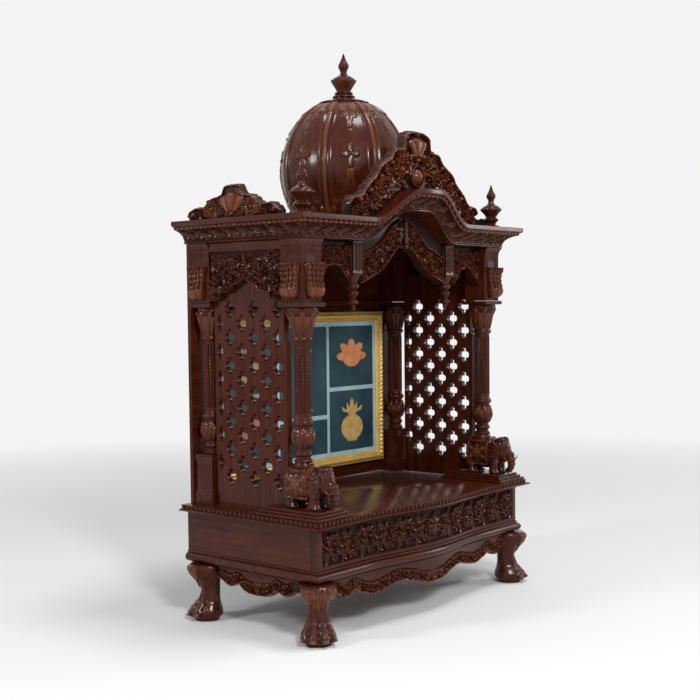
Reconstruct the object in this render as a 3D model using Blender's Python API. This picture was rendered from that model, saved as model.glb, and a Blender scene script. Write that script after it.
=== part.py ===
"""Carved rosewood pooja mandir: a domed household shrine on four lion-paw legs.

X runs along the front, Y from the front to the back, Z up. The origin is on the floor,
in the middle of the overall width and depth. All sizes are in metres.
"""

import bpy
import bmesh
from math import cos, pi, radians, sin, sqrt

# Overall sizes
WIDTH = 0.762
DEPTH = 0.406
BACK_Y = DEPTH / 2
FIT = 0.0003

# Heights of the tiers, from the floor up
LEG_H = 0.118
MOULDING_H = 0.024
WALL_H = 0.0843
BAND_H = 0.0128
SLAB_H = 0.029
BAY_H = 0.3987
HEAD_H = 0.122
CORNICE_H = 0.045
LEG_Z = LEG_H - FIT
FLOOR_Z = LEG_H + MOULDING_H
SLAB_Z = FLOOR_Z + WALL_H
BAY_Z = SLAB_Z + BAND_H
DECK_Z = SLAB_Z + SLAB_H
HEAD_Z = DECK_Z + BAY_H
CORNICE_Z = HEAD_Z + HEAD_H
ROOF_Z = CORNICE_Z + CORNICE_H

# Base box and its serpentine front
SLAB_HALF = WIDTH / 2 - 0.0075
BOW_DEPTH = 0.021
BOW_HALF = 0.5864 * SLAB_HALF
SLAB_FRONT = -(BACK_Y - BOW_DEPTH)
MOULDING_INSET = 0.0155
BOX_INSET = 0.0245
FRONT_BOARD = 0.018
SIDE_BOARD = 0.016
BACK_BOARD = 0.009
BASE_BACK_BOARD = 0.012
PLINTH_INNER = SLAB_HALF - 0.1115
PLINTH_BACK = SLAB_FRONT + 0.176
PLINTH_INSET = 0.0105
PLINTH_STEP = 0.006
PLINTH_SLOPE = 0.0008

# Legs and the skirts between them
FOOT_X = SLAB_HALF - 0.0385
FRONT_FOOT_Y = SLAB_FRONT + 0.039
BACK_FOOT_Y = BACK_Y - 0.045
KNEE_HALF = 0.037
APRON_BOARD = 0.014
APRON_INSET = 0.028
APRON_DROP = 0.0537
APRON_HALF = FOOT_X - 0.0365
SIDE_APRON_HALF = (BACK_FOOT_Y - FRONT_FOOT_Y) / 2 - 0.039

# Body above the deck
CORNICE_OUT = 0.041
HEAD_BLOCK = 0.056
BODY_HALF = WIDTH / 2 - CORNICE_OUT
BODY_FRONT = -(BACK_Y - 0.0845)
COLUMN_X = BODY_HALF - HEAD_BLOCK / 2
FRONT_COLUMN_Y = BODY_FRONT + HEAD_BLOCK / 2
BACK_COLUMN_Y = BACK_Y - 0.0375
BAY_HALF = BODY_HALF - HEAD_BLOCK - FIT

# Columns
COLUMN_FOOT_H = 0.088
CAPITAL_H = 0.077
SHAFT_R = 0.0165
VASE_R = 0.0225
RING_R = 0.0262
FOOT_R = 0.0222
ABACUS_HALF = 0.033
BACK_ABACUS_HALF = BACK_Y - BACK_BOARD - FIT - BACK_COLUMN_Y
ABACUS_H = 0.008
FLUTES = 10
FLUTE_DEPTH = 0.0022

# Leaf corbels on the outer faces of the heads, and the flare under the cornice
CORBEL_OUT = 0.027
CORBEL_HALF = 0.023
HEAD_FLARE = 0.006

# Pierced side screens and the friezes over them
JALI_BOARD = 0.014
JALI_FRONT = FRONT_COLUMN_Y + RING_R + 0.0025
JALI_BACK = BACK_COLUMN_Y - RING_R - 0.0025
JALI_OVERLAP = 0.066
JALI_SHIFT = -0.009
JALI_PITCH = 0.0333
JALI_ROW = 0.0284
JALI_SILL = 0.0457
JALI_ROWS = 13
HOLE_HALF_Y = 0.0145
HOLE_HALF_Z = 0.0175
HOLE_WAIST = 0.5
HOLE_SIDES = 12
FRIEZE_BOARD = 0.0135

# Front valance and its two hanging posts
VALANCE_BOARD = 0.018
VALANCE_Y = FRONT_COLUMN_Y - 0.002
DROP_X = 0.5637 * BAY_HALF
DROP_W = 0.030
DROP_H = 0.1417

# Cornice, measured outward from the body face, and its raised bonnet
CORNICE_IN = BODY_FRONT - (VALANCE_Y + VALANCE_BOARD / 2)
RABBET = 0.010
ROOF_BOARD = 0.015
BONNET_RISE = 0.064
BONNET_HALF = DROP_X + 0.005
BONNET_FLAT = 0.028
BONNET_BOW = 0.024
BONNET_STEPS = 20

# Framed picture on the back wall
PICTURE_HALF = BODY_HALF - 0.055
PICTURE_Z = DECK_Z + 0.0127
PICTURE_H = BAY_H - 0.0347
PICTURE_BORDER = 0.024
PICTURE_DEPTH = 0.017
PICTURE_PANEL = 0.005

# Crests and finials
CREST_BOARD = 0.018
FRONT_CREST_Y = BODY_FRONT - 0.0095
FRONT_CREST_HALF = 0.653 * BODY_HALF
FRONT_CREST_H = 0.187
SIDE_CREST_X = WIDTH / 2 - 0.019
SIDE_CREST_Y = (FRONT_COLUMN_Y + BACK_COLUMN_Y) / 2
SIDE_CREST_HALF = (BACK_COLUMN_Y - FRONT_COLUMN_Y) / 2
SIDE_CREST_H = 0.065
FINIAL_X = WIDTH / 2 - 0.055
FINIAL_Y = BODY_FRONT + 0.0115

# Dome
DOME_R = 0.3485 * DEPTH
DOME_Y = BACK_Y - DOME_R - 0.0015
DOME_RISE = 0.159
DOME_WAIST_Z = ROOF_Z + 0.117
DOME_NECK_R = 0.406 * DOME_R
DOME_BASE_R = 0.7915 * DOME_R
DOME_RIB = 0.003
DOME_GORES = 8
SPIRE_H = 0.1104

MATERIALS = {}


def clear_scene():
    for item in list(bpy.data.objects):
        bpy.data.objects.remove(item, do_unlink=True)


def material(name, colour, roughness, metallic=0.0):
    """A Principled material, made once for each name."""
    if name not in MATERIALS:
        made = bpy.data.materials.new(name)
        made.use_nodes = True
        shader = made.node_tree.nodes["Principled BSDF"]
        shader.inputs["Base Color"].default_value = (*colour, 1.0)
        shader.inputs["Roughness"].default_value = roughness
        shader.inputs["Metallic"].default_value = metallic
        MATERIALS[name] = made
    return MATERIALS[name]


def rosewood(name):
    return material(f"rosewood_{name}", (0.105, 0.022, 0.010), 0.22)


def gilt():
    return material("gilt", (0.62, 0.39, 0.06), 0.38, 0.35)


def mount_board():
    return material("mount_board", (0.05, 0.12, 0.16), 0.5)


def add_object(name, mesh, surface):
    part = bpy.data.objects.new(name, mesh)
    bpy.context.collection.objects.link(part)
    mesh.materials.append(surface)
    mesh.shade_smooth()
    mesh.set_sharp_from_angle(angle=radians(32))
    return part


def mesh_from(name, points, faces):
    mesh = bpy.data.meshes.new(name)
    mesh.from_pydata([tuple(point) for point in points], [], faces)
    work = bmesh.new()
    work.from_mesh(mesh)
    bmesh.ops.recalc_face_normals(work, faces=work.faces)
    work.to_mesh(mesh)
    work.free()
    return mesh


def loft(name, rings, surface):
    """Join rings of equally many points into one closed solid with flat ends."""
    count = len(rings[0])
    points = [point for ring in rings for point in ring]
    faces = [list(range(count))]
    for level in range(len(rings) - 1):
        low = level * count
        high = low + count
        for step in range(count):
            after = (step + 1) % count
            faces.append([low + step, low + after, high + after, high + step])
    faces.append([(len(rings) - 1) * count + step for step in range(count)])
    return add_object(name, mesh_from(name, points, faces), surface)


def slab_of(name, outline, low, high, axis, surface):
    """Extrude a flat outline from low to high along axis 0, 1 or 2."""
    others = [index for index in range(3) if index != axis]

    def place(pair, along):
        point = [0.0, 0.0, 0.0]
        point[axis] = along
        point[others[0]], point[others[1]] = pair
        return point

    rings = [[place(pair, along) for pair in outline] for along in (low, high)]
    return loft(name, rings, surface)


def box(name, low, high, surface):
    outline = [(low[0], low[1]), (high[0], low[1]), (high[0], high[1]), (low[0], high[1])]
    return slab_of(name, outline, low[2], high[2], 2, surface)


def turned(name, profile, centre, surface, steps):
    """Turn a profile of (radius, height) pairs about an upright axis."""
    return loft(name, [round_ring(centre, radius, 0.0, z, steps) for radius, z in profile], surface)


def smooth_curve(points, steps):
    """Points along a smooth curve through the given (a, b) pairs."""
    curve = []
    last = len(points) - 1
    for index in range(last):
        before = points[max(index - 1, 0)]
        start = points[index]
        end = points[index + 1]
        after = points[min(index + 2, last)]
        for step in range(steps):
            t = step / steps
            curve.append(tuple(
                0.5 * (2 * b + (c - a) * t + (2 * a - 5 * b + 4 * c - d) * t ** 2
                       + (3 * b - a - 3 * c + d) * t ** 3)
                for a, b, c, d in zip(before, start, end, after)))
    curve.append(points[last])
    return curve


def mirrored(points):
    """Repeat a right-hand half outline, whose first point is on the centre line, on the left."""
    return [(-a, b) for a, b in reversed(points[1:])] + points


def bow(x, half=BOW_HALF, depth=BOW_DEPTH):
    """How far a serpentine front swells forward of its straight ends."""
    if abs(x) >= half:
        return 0.0
    return depth * 0.5 * (1 + cos(pi * abs(x) / half))


def bow_stations(half, count):
    """Places along the front, close together over the swelling."""
    inner = [-BOW_HALF + 2 * BOW_HALF * step / count for step in range(count + 1)]
    return [-half] + inner + [half]


def plan_ring(inset, z, back=BACK_Y):
    """Plan outline of the base, a given distance inside the deck's lip, at height z."""
    half = SLAB_HALF - inset
    front = [(x, SLAB_FRONT + inset - bow(x), z) for x in bow_stations(half, 16)]
    return front + [(half, back, z), (-half, back, z)]


def build_legs():
    """Cabriole legs: a swelling knee, a slim ankle and a paw that is turned outward."""
    shape = [  # height, half width and outward shift, as shares of the leg's height and knee
        (0.000, 0.70, 0.11), (0.050, 0.73, 0.11), (0.056, 0.84, 0.11), (0.153, 0.92, 0.13),
        (0.263, 0.81, 0.08), (0.365, 0.63, -0.03), (0.527, 0.55, -0.11), (0.680, 0.65, -0.03),
        (0.816, 0.89, 0.13), (0.918, 1.00, 0.18), (1.000, 0.92, 0.10)]
    for side, x_sign in (("left", -1), ("right", 1)):
        for end, y_sign, foot_y in (("front", -1, FRONT_FOOT_Y), ("back", 1, BACK_FOOT_Y)):
            rings = []
            for level, half, shift in shape:
                ring = []
                out = KNEE_HALF * shift / sqrt(2)
                for step in range(16):
                    turn = 2 * pi * step / 16
                    reach = KNEE_HALF * half * (1 + 0.05 * cos(4 * turn))
                    x = FOOT_X + out + reach * cos(turn)
                    y = out + reach * sin(turn)
                    ring.append((x_sign * x, foot_y + y_sign * y, LEG_Z * level))
                rings.append(ring)
            loft(f"leg_{end}_{side}", rings, rosewood("legs"))


def scaled(points, half, base, rise):
    """Turn (share, share) pairs into widths and heights."""
    return [(half * a, base + rise * b) for a, b in points]


def scaled_heights(profile, foot, rise):
    """Turn (radius, share) pairs into radii and heights."""
    return [(radius, foot + rise * share) for radius, share in profile]


def build_aprons():
    """Scalloped skirts between the legs."""
    front = [(0.0, 1.0), (0.12, 0.94), (0.22, 0.78), (0.36, 0.665), (0.49, 0.81), (0.61, 0.91),
             (0.73, 0.74), (0.80, 0.59), (0.89, 0.80), (0.95, 0.61), (1.0, 0.44)]
    lower = mirrored(smooth_curve(scaled(front, APRON_HALF, LEG_Z, -APRON_DROP), 3))
    front_face = SLAB_FRONT + APRON_INSET
    rings = []
    for x, z in lower:
        face = front_face - bow(x)
        back = face + APRON_BOARD
        rings.append([(x, face, z), (x, back, z), (x, back, LEG_Z), (x, face, LEG_Z)])
    loft("apron_front", rings, rosewood("aprons"))

    middle = (FRONT_FOOT_Y + BACK_FOOT_Y) / 2
    side = [(0.0, 0.87), (0.27, 0.81), (0.48, 0.57), (0.69, 0.70), (0.865, 0.53), (1.0, 0.44)]
    lower = mirrored(smooth_curve(scaled(side, SIDE_APRON_HALF, LEG_Z, -APRON_DROP), 3))
    outer = SLAB_HALF - APRON_INSET
    for name, sign in (("apron_left", -1), ("apron_right", 1)):
        outline = [(middle + y, z) for y, z in lower]
        outline += [(outline[-1][0], LEG_Z), (outline[0][0], LEG_Z)]
        span = sorted((sign * outer, sign * (outer - APRON_BOARD)))
        slab_of(name, outline, span[0], span[1], 0, rosewood("aprons"))


def build_base():
    """Bottom moulding with the floor board, four walls and the stepped deck."""
    lip = MOULDING_INSET
    moulding = [(lip + 0.011, 0.0), (lip + 0.006, 0.002), (lip + 0.002, 0.006), (lip, 0.011),
                (lip + 0.002, 0.0155), (lip + 0.006, 0.018), (lip + 0.007, 0.0205),
                (lip + 0.0085, MOULDING_H)]
    loft("base_moulding", [plan_ring(inset, LEG_H + rise) for inset, rise in moulding],
         rosewood("base"))

    low = FLOOR_Z + FIT
    high = SLAB_Z - FIT
    half = SLAB_HALF - BOX_INSET
    face = SLAB_FRONT + BOX_INSET
    stations = bow_stations(half, 16)
    outline = [(x, face - bow(x)) for x in stations]
    outline += [(x, face + FRONT_BOARD - bow(x)) for x in reversed(stations)]
    slab_of("base_front", outline, low, high, 2, rosewood("base"))
    back_face = BACK_Y - BASE_BACK_BOARD
    box("base_back", (-half, back_face, low), (half, BACK_Y, high), rosewood("base"))
    for name, sign in (("base_left", -1), ("base_right", 1)):
        span = sorted((sign * half, sign * (half - SIDE_BOARD)))
        box(name, (span[0], face + FRONT_BOARD + FIT, low), (span[1], back_face - FIT, high),
            rosewood("base"))

    steps = [(0.003, 0.0), (0.0, 0.0012), (0.0, 0.0038), (0.006, 0.0048), (0.006, BAND_H - 0.001),
             (0.0075, BAND_H)]
    loft("deck", [plan_ring(inset, SLAB_Z + rise) for inset, rise in steps], rosewood("deck"))
    build_plinths()


def plinth_steps():
    """(inset, top) of the three steps that a corner plinth rises by, the lowest first."""
    rise = (DECK_Z - BAY_Z - FIT) / 3
    return [(step * PLINTH_STEP, BAY_Z + FIT + (step + 1) * rise) for step in range(3)]


def build_plinths():
    """Stepped block at each front corner of the deck, under the elephant and its column."""
    levels = []
    low = BAY_Z + FIT
    for inset, top in plinth_steps():
        levels += [(inset, low), (inset, top)]
        low = top + PLINTH_SLOPE
    for name, sign in (("plinth_left", -1), ("plinth_right", 1)):
        rings = []
        for inset, z in levels:
            front = SLAB_FRONT + PLINTH_INSET + inset
            outer = SLAB_HALF - PLINTH_INSET - inset
            inner = PLINTH_INNER + inset
            back = PLINTH_BACK - inset
            rings.append([(sign * inner, front, z), (sign * outer, front, z),
                          (sign * outer, back, z), (sign * inner, back, z)])
        loft(name, rings, rosewood("deck"))


def column_profile(foot, neck, widest):
    """Base rings, vase, fluted shaft, neck ring and leafy capital, as (radius, height) pairs."""
    return [(FOOT_R, foot), (FOOT_R, foot + 0.006), (0.0160, foot + 0.010), (0.0192, foot + 0.016),
            (0.0192, foot + 0.020), (0.015, foot + 0.025), (VASE_R, foot + 0.044),
            (0.0205, foot + 0.060), (0.0165, foot + 0.070), (0.0205, foot + 0.076),
            (0.0205, foot + 0.081), (SHAFT_R, foot + 0.088), (SHAFT_R, neck),
            (0.0205, neck + 0.004), (0.0205, neck + 0.009), (0.0185, neck + 0.012),
            (0.0225, neck + 0.024), (0.0262, neck + 0.048), (widest, neck + 0.062),
            (widest - 0.002, neck + 0.068)]


def square_ring(centre, half, z, steps):
    """A square of the given half width, with as many points as a turned ring."""
    ring = []
    for step in range(steps):
        turn = 2 * pi * step / steps
        reach = half / max(abs(cos(turn)), abs(sin(turn)))
        ring.append((centre[0] + reach * cos(turn), centre[1] + reach * sin(turn), z))
    return ring


def round_ring(centre, radius, hollow, z, steps):
    """A circle whose every second point is drawn in by the depth of a flute."""
    ring = []
    for step in range(steps):
        turn = 2 * pi * step / steps
        reach = radius - (hollow if step % 2 else 0.0)
        ring.append((centre[0] + reach * cos(turn), centre[1] + reach * sin(turn), z))
    return ring


def build_columns():
    """Four turned columns with fluted shafts; the back pair keep a square plinth."""
    foot = DECK_Z + COLUMN_FOOT_H + FIT
    neck = HEAD_Z - CAPITAL_H
    top = HEAD_Z - FIT
    steps = 2 * FLUTES
    plinth = RING_R - 0.001
    for end, y, abacus in (("front", FRONT_COLUMN_Y, ABACUS_HALF),
                           ("back", BACK_COLUMN_Y, BACK_ABACUS_HALF)):
        for side, sign in (("left", -1), ("right", 1)):
            centre = (sign * COLUMN_X, y)
            rings = []
            if end == "back":
                for half, z in ((plinth, BAY_Z + FIT), (plinth, BAY_Z + 0.022),
                                (plinth - 0.002, BAY_Z + 0.024), (plinth - 0.002, foot - 0.010),
                                (plinth, foot - 0.008), (plinth, foot - 0.001)):
                    rings.append(square_ring(centre, half, z, steps))
            for radius, z in column_profile(foot, neck, abacus - 0.001):
                hollow = FLUTE_DEPTH if radius == SHAFT_R else 0.0
                rings.append(round_ring(centre, radius, hollow, z, steps))
            rings.append(square_ring(centre, abacus, top - ABACUS_H, steps))
            rings.append(square_ring(centre, abacus, top, steps))
            loft(f"column_{end}_{side}", rings, rosewood("columns"))


def guide_of(name, part):
    """Make an object a wireframe guide that a Boolean reads."""
    part.name = name
    part.hide_render = True
    part.display_type = "WIRE"
    return part


def join_solids(part, pieces):
    """Unite closed pieces with a part, so that it stays one solid."""
    for index, piece in enumerate(pieces):
        guide = guide_of(f"{part.name}_piece_{index}", piece)
        add = part.modifiers.new(f"join_{index}", "BOOLEAN")
        add.operation = "UNION"
        add.solver = "EXACT"
        add.object = guide


def rounded(name, centre, half, across, around, surface):
    """An ellipsoid with flat tips, whose rings run along Y."""
    rings = []
    for level in range(across + 1):
        tilt = pi * (0.06 + 0.88 * level / across)
        ring = []
        for step in range(around):
            turn = 2 * pi * (step + 0.5) / around
            ring.append((centre[0] + half[0] * sin(tilt) * cos(turn),
                         centre[1] - half[1] * cos(tilt),
                         centre[2] + half[2] * sin(tilt) * sin(turn)))
        rings.append(ring)
    return loft(name, rings, surface)


def build_elephants():
    """An elephant under each front column, facing forward, with a round pad on its back."""
    floor = DECK_Z + FIT
    y = FRONT_COLUMN_Y
    top = DECK_Z + COLUMN_FOOT_H - FIT
    carving = rosewood("carving")
    for name, sign in (("elephant_left", -1), ("elephant_right", 1)):
        x = sign * COLUMN_X
        body = rounded(name, (x, y - 0.016, floor + 0.046), (0.0295, 0.0440, 0.0370), 7, 12, carving)
        pieces = [turned("pad", [(0.024, floor + 0.064), (0.0285, floor + 0.073),
                                 (0.0240, floor + 0.081), (FOOT_R, top)], (x, y), carving, 16),
                  rounded("head", (x, y - 0.055, floor + 0.056), (0.0210, 0.020, 0.0275),
                          5, 10, carving)]
        for step_x in (-1, 1):
            pieces.append(rounded("ear", (x + 0.0225 * step_x, y - 0.044, floor + 0.051),
                                  (0.0060, 0.0150, 0.0230), 4, 8, carving))
            for leg_y in (y + 0.015, y - 0.042):
                pieces.append(turned("foot", [(0.0115, floor), (0.0100, floor + 0.010),
                                              (0.0110, floor + 0.036)],
                                     (x + 0.0155 * step_x, leg_y), carving, 8))
        trunk = []
        for out, rise, radius, tilt in ((0.066, 0.050, 0.0125, 55), (0.0785, 0.041, 0.0105, 25),
                                        (0.0825, 0.028, 0.009, 0), (0.080, 0.016, 0.008, -35),
                                        (0.072, 0.010, 0.007, -75)):
            lean = radians(tilt)
            trunk.append([(x + radius * cos(2 * pi * step / 8),
                           y - out - radius * sin(2 * pi * step / 8) * cos(lean),
                           floor + rise + radius * sin(2 * pi * step / 8) * sin(lean))
                          for step in range(8)])
        pieces.append(loft("trunk", trunk, carving))
        join_solids(body, pieces)


def build_heads():
    """Square blocks over the columns, each with a leaf corbel on its outer faces."""
    levels = [(0.0, 0.0, 0.0), (0.08, 0.0, 0.0), (0.09, 0.35, 0.0), (0.14, 0.75, 0.0),
              (0.24, 0.92, 0.0), (0.60, 1.0, 0.0), (0.625, 0.92, 0.0), (0.63, 0.0, 0.0),
              (0.88, 0.0, 0.0), (0.95, 0.35, 0.0), (1.0, 1.0, 1.0)]
    low = HEAD_Z + FIT
    rise = HEAD_H - 2 * FIT
    half = HEAD_BLOCK / 2
    shape = ((-1.0, 0.0), (-0.8, 0.75), (0.0, 1.0), (0.8, 0.75), (1.0, 0.0))
    for side, sign in (("left", -1), ("right", 1)):
        for end, y in (("front", FRONT_COLUMN_Y), ("back", BACK_COLUMN_Y)):
            rings = []
            for share, leaf, top in levels:
                flare = HEAD_FLARE * (leaf if share > 0.9 else 0.0)
                out = CORBEL_OUT * (leaf if share < 0.9 else 0.0)
                forward = half + (flare if end == "front" else 0.0)
                plan = [(-half, -half), (-half, forward)]
                if end == "front":
                    plan += [(CORBEL_HALF * a, forward + out * b) for a, b in shape]
                plan += [(half + flare, forward)]
                plan += [(half + flare + out * b, -CORBEL_HALF * a) for a, b in shape]
                plan += [(half + flare, -half)]
                z = low + rise * share
                rings.append([(sign * (COLUMN_X + a), y - b, z) for a, b in plan])
            loft(f"head_{end}_{side}", rings, rosewood("heads"))


def sill_edge():
    """Lower edge of a side screen, (y, z) from the front, that clears the steps of a plinth."""
    steps = plinth_steps()
    edge = [(JALI_FRONT, DECK_Z + FIT)]
    for number in (2, 1, 0):
        back = PLINTH_BACK - steps[number][0] + FIT
        below = steps[number - 1][1] + PLINTH_SLOPE if number else BAY_Z
        edge += [(back, edge[-1][1]), (back, below + FIT)]
    return edge


def jali_holes(sign):
    """Four-lobed cutters on a staggered grid, as one wireframe guide."""
    middle = (JALI_FRONT + JALI_BACK) / 2 + JALI_SHIFT
    outer = BODY_HALF - FRIEZE_BOARD - FIT
    work = bmesh.new()
    for row in range(JALI_ROWS):
        z = DECK_Z + JALI_SILL + row * JALI_ROW
        columns = (-2, 0, 2) if row % 2 == 0 else (-1, 1, 3)
        for column in columns:
            y = middle + column * JALI_PITCH
            ring = []
            for step in range(HOLE_SIDES):
                turn = 2 * pi * step / HOLE_SIDES
                lobe = 1.0 - HOLE_WAIST * (1 - cos(4 * turn)) / 2
                ring.append(work.verts.new((0.0, y + lobe * HOLE_HALF_Y * cos(turn),
                                            z + lobe * HOLE_HALF_Z * sin(turn))))
            face = work.faces.new(ring)
            made = bmesh.ops.extrude_face_region(work, geom=[face])
            moved = [item for item in made["geom"] if isinstance(item, bmesh.types.BMVert)]
            bmesh.ops.translate(work, verts=moved, vec=(0.04, 0.0, 0.0))
    bmesh.ops.translate(work, verts=work.verts, vec=(outer - 0.03, 0.0, 0.0))
    if sign < 0:
        bmesh.ops.scale(work, verts=work.verts, vec=(-1.0, 1.0, 1.0))
    bmesh.ops.recalc_face_normals(work, faces=work.faces)
    mesh = bpy.data.meshes.new("jali_holes")
    work.to_mesh(mesh)
    work.free()
    guide = bpy.data.objects.new("jali_holes", mesh)
    bpy.context.collection.objects.link(guide)
    return guide_of(f"jali_holes_{'left' if sign < 0 else 'right'}", guide)


def build_sides():
    """Pierced screens, the carved friezes over them and the back wall."""
    outer = BODY_HALF - FRIEZE_BOARD - FIT
    sill = BAY_Z + FIT
    shoulder = FRONT_COLUMN_Y + HEAD_BLOCK / 2 + FIT
    neck = FRONT_COLUMN_Y + ABACUS_HALF + FIT
    neck_z = HEAD_Z - CAPITAL_H
    top = HEAD_Z + JALI_OVERLAP
    for side, sign in (("left", -1), ("right", 1)):
        span = sorted((sign * outer, sign * (outer - JALI_BOARD)))
        outline = sill_edge() + [(JALI_BACK, sill), (JALI_BACK, top), (shoulder, top),
                                 (shoulder, HEAD_Z), (neck, HEAD_Z), (neck, neck_z),
                                 (JALI_FRONT, neck_z)]
        screen = slab_of(f"jali_{side}", outline, span[0], span[1], 0, rosewood("jali"))
        cut = screen.modifiers.new("holes", "BOOLEAN")
        cut.operation = "DIFFERENCE"
        cut.solver = "EXACT"
        cut.object = jali_holes(sign)

        back = BACK_COLUMN_Y - HEAD_BLOCK / 2 - FIT
        middle = (shoulder + back) / 2
        half = (back - shoulder) / 2
        arch = [(0.0, 0.41), (0.12, 0.33), (0.30, 0.28), (0.46, 0.18), (0.66, 0.148), (0.74, 0.05),
                (1.0, 0.025)]
        lower = mirrored(smooth_curve(scaled(arch, half, HEAD_Z, HEAD_H), 2))
        outline = [(middle + y, z) for y, z in lower]
        high = CORNICE_Z - FIT
        outline += [(back, high), (shoulder, high)]
        span = sorted((sign * BODY_HALF, sign * (BODY_HALF - FRIEZE_BOARD)))
        slab_of(f"frieze_{side}", outline, span[0], span[1], 0, rosewood("frieze"))

    inside = BODY_HALF + CORNICE_IN - FIT
    under_cornice = CORNICE_Z - FIT
    under_roof = ROOF_Z - ROOF_BOARD - FIT
    outline = [(-BODY_HALF, sill), (BODY_HALF, sill), (BODY_HALF, under_cornice),
               (inside, under_cornice), (inside, under_roof), (-inside, under_roof),
               (-inside, under_cornice), (-BODY_HALF, under_cornice)]
    slab_of("back_wall", outline, BACK_Y - BACK_BOARD, BACK_Y, 1, rosewood("back"))


def bonnet(x):
    """How far the cornice rises over the middle of the front."""
    t = (abs(x) - BONNET_FLAT) / (BONNET_HALF - BONNET_FLAT)
    t = min(max(t, 0.0), 1.0)
    return BONNET_RISE * 0.5 * (1 + cos(pi * t))


def bonnet_stations():
    """Places along the raised part of the cornice."""
    return [BONNET_HALF * (2 * step / BONNET_STEPS - 1) for step in range(BONNET_STEPS + 1)]


def height_at(outline, x):
    """Height of a left-to-right outline at x."""
    for (x0, z0), (x1, z1) in zip(outline, outline[1:]):
        if x0 <= x <= x1:
            return z0 + (z1 - z0) * (x - x0) / (x1 - x0)
    return outline[-1][1]


def over_bonnet(outline, places):
    """Stations of an outline together with every bonnet station inside it."""
    low = outline[0][0]
    high = outline[-1][0]
    inside = [x for x in places if low < x < high]
    kept = [x for x, z in outline if all(abs(x - other) > 0.0005 for other in inside)]
    return sorted(kept + inside)


def build_valance():
    """Three carved boards and two fluted hanging posts between the front heads."""
    drop_edge = DROP_W / 2 + FIT
    face = VALANCE_Y - VALANCE_BOARD / 2
    back = VALANCE_Y + VALANCE_BOARD / 2
    high = CORNICE_Z - FIT
    low_x = DROP_X + drop_edge
    middle = (low_x + BAY_HALF) / 2
    arch = scaled([(0.0, 0.607), (0.37, 0.557), (0.63, 0.41), (1.0, 0.279)],
                  (BAY_HALF - low_x) / 2, HEAD_Z, HEAD_H)
    for side, sign in (("left", -1), ("right", 1)):
        outline = [(sign * (middle + x), z) for x, z in mirrored(smooth_curve(arch, 3))]
        ends = [(outline[-1][0], high), (outline[0][0], high)]
        slab_of(f"valance_{side}", outline + ends, face, back, 1, rosewood("valance"))

    arch = scaled([(0.0, 0.934), (0.15, 0.90), (0.275, 0.80), (0.40, 0.655), (0.58, 0.49),
                   (0.76, 0.41), (1.0, 0.295)], DROP_X - drop_edge, HEAD_Z, HEAD_H)
    edge = mirrored(smooth_curve(arch, 3))
    stations = over_bonnet(edge, bonnet_stations())
    roof = [(x, bonnet(x)) for x in bonnet_stations()]
    lower = [(x, height_at(edge, x)) for x in stations]
    upper = [(x, high + height_at(roof, x)) for x in reversed(stations)]
    slab_of("valance_middle", lower + upper, face, back, 1, rosewood("valance"))

    turning = [(0.002, 0.0), (0.004, 0.042), (0.0045, 0.077), (0.010, 0.113), (0.0105, 0.155),
               (0.005, 0.211), (0.011, 0.254), (0.011, 0.289), (0.007, 0.317), (0.013, 0.359),
               (0.013, 0.394), (0.009, 0.43), (0.0145, 0.479)]
    foot = high - DROP_H
    for name, sign in (("drop_left", -1), ("drop_right", 1)):
        x = sign * DROP_X
        rings = []
        for radius, share in turning:
            rings.append([(x + radius * cos(2 * pi * (step + 0.5) / 16),
                           VALANCE_Y + radius * sin(2 * pi * (step + 0.5) / 16),
                           foot + DROP_H * share)
                          for step in range(16)])
        for z in (foot + 0.522 * DROP_H, high):
            ring = []
            for step in range(16):
                turn = 2 * pi * (step + 0.5) / 16
                reach = DROP_W / 2 / max(abs(cos(turn)), abs(sin(turn)))
                ring.append((x + reach * cos(turn), VALANCE_Y + reach * sin(turn), z))
            rings.append(ring)
        loft(name, rings, rosewood("valance"))


def cornice_section():
    """Outer half of the section, bottom to top: bead, ogee, bead and flat fillet."""
    shares = [(0.0, 0.0), (0.15, 0.02), (0.20, 0.09), (0.15, 0.16), (0.22, 0.22), (0.32, 0.40),
              (0.52, 0.51), (0.75, 0.58), (0.92, 0.63), (1.0, 0.69), (1.0, 1.0)]
    return scaled(shares, CORNICE_OUT, 0.0, CORNICE_H)


def build_cornice():
    """Mitred crown moulding with a raised bonnet over the middle of the front."""
    depth = CORNICE_IN
    low = CORNICE_Z

    def front_point(x, out, rise, weight):
        y = BODY_FRONT - out - weight * bow(x, BONNET_HALF, BONNET_BOW)
        return (x, y, low + rise + bonnet(x))

    section = cornice_section()
    inner = [(depth, CORNICE_H), (depth, 0.0)]
    rings = []
    stations = bonnet_stations()
    count = BONNET_STEPS
    for index in range(-1, count + 2):
        ring = []
        for weight, corners in ((1.0, section), (0.0, inner)):
            for out, rise in corners:
                if 0 <= index <= count:
                    x = stations[index]
                else:
                    x = (BODY_HALF + out - FIT) * (-1 if index < 0 else 1)
                ring.append(front_point(x, out, rise, weight))
        rings.append(ring)
    loft("cornice_front", rings, rosewood("cornice"))

    shelf = CORNICE_H - ROOF_BOARD
    inner = [(depth + RABBET, CORNICE_H), (depth + RABBET, shelf - FIT), (depth, shelf - FIT),
             (depth, 0.0)]
    for name, sign in (("cornice_left", -1), ("cornice_right", 1)):
        rings = []
        for end in (0, 1):
            ring = []
            for out, rise in section + inner:
                y = BACK_Y if end else BODY_FRONT - out
                ring.append((sign * (BODY_HALF + out), y, low + rise))
            rings.append(ring)
        loft(name, rings, rosewood("cornice"))

    half = BODY_HALF + depth + RABBET - FIT
    front = BODY_FRONT - depth + FIT
    box("roof_board", (-half, front, ROOF_Z - ROOF_BOARD), (half, BACK_Y, ROOF_Z),
        rosewood("roof"))


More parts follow.
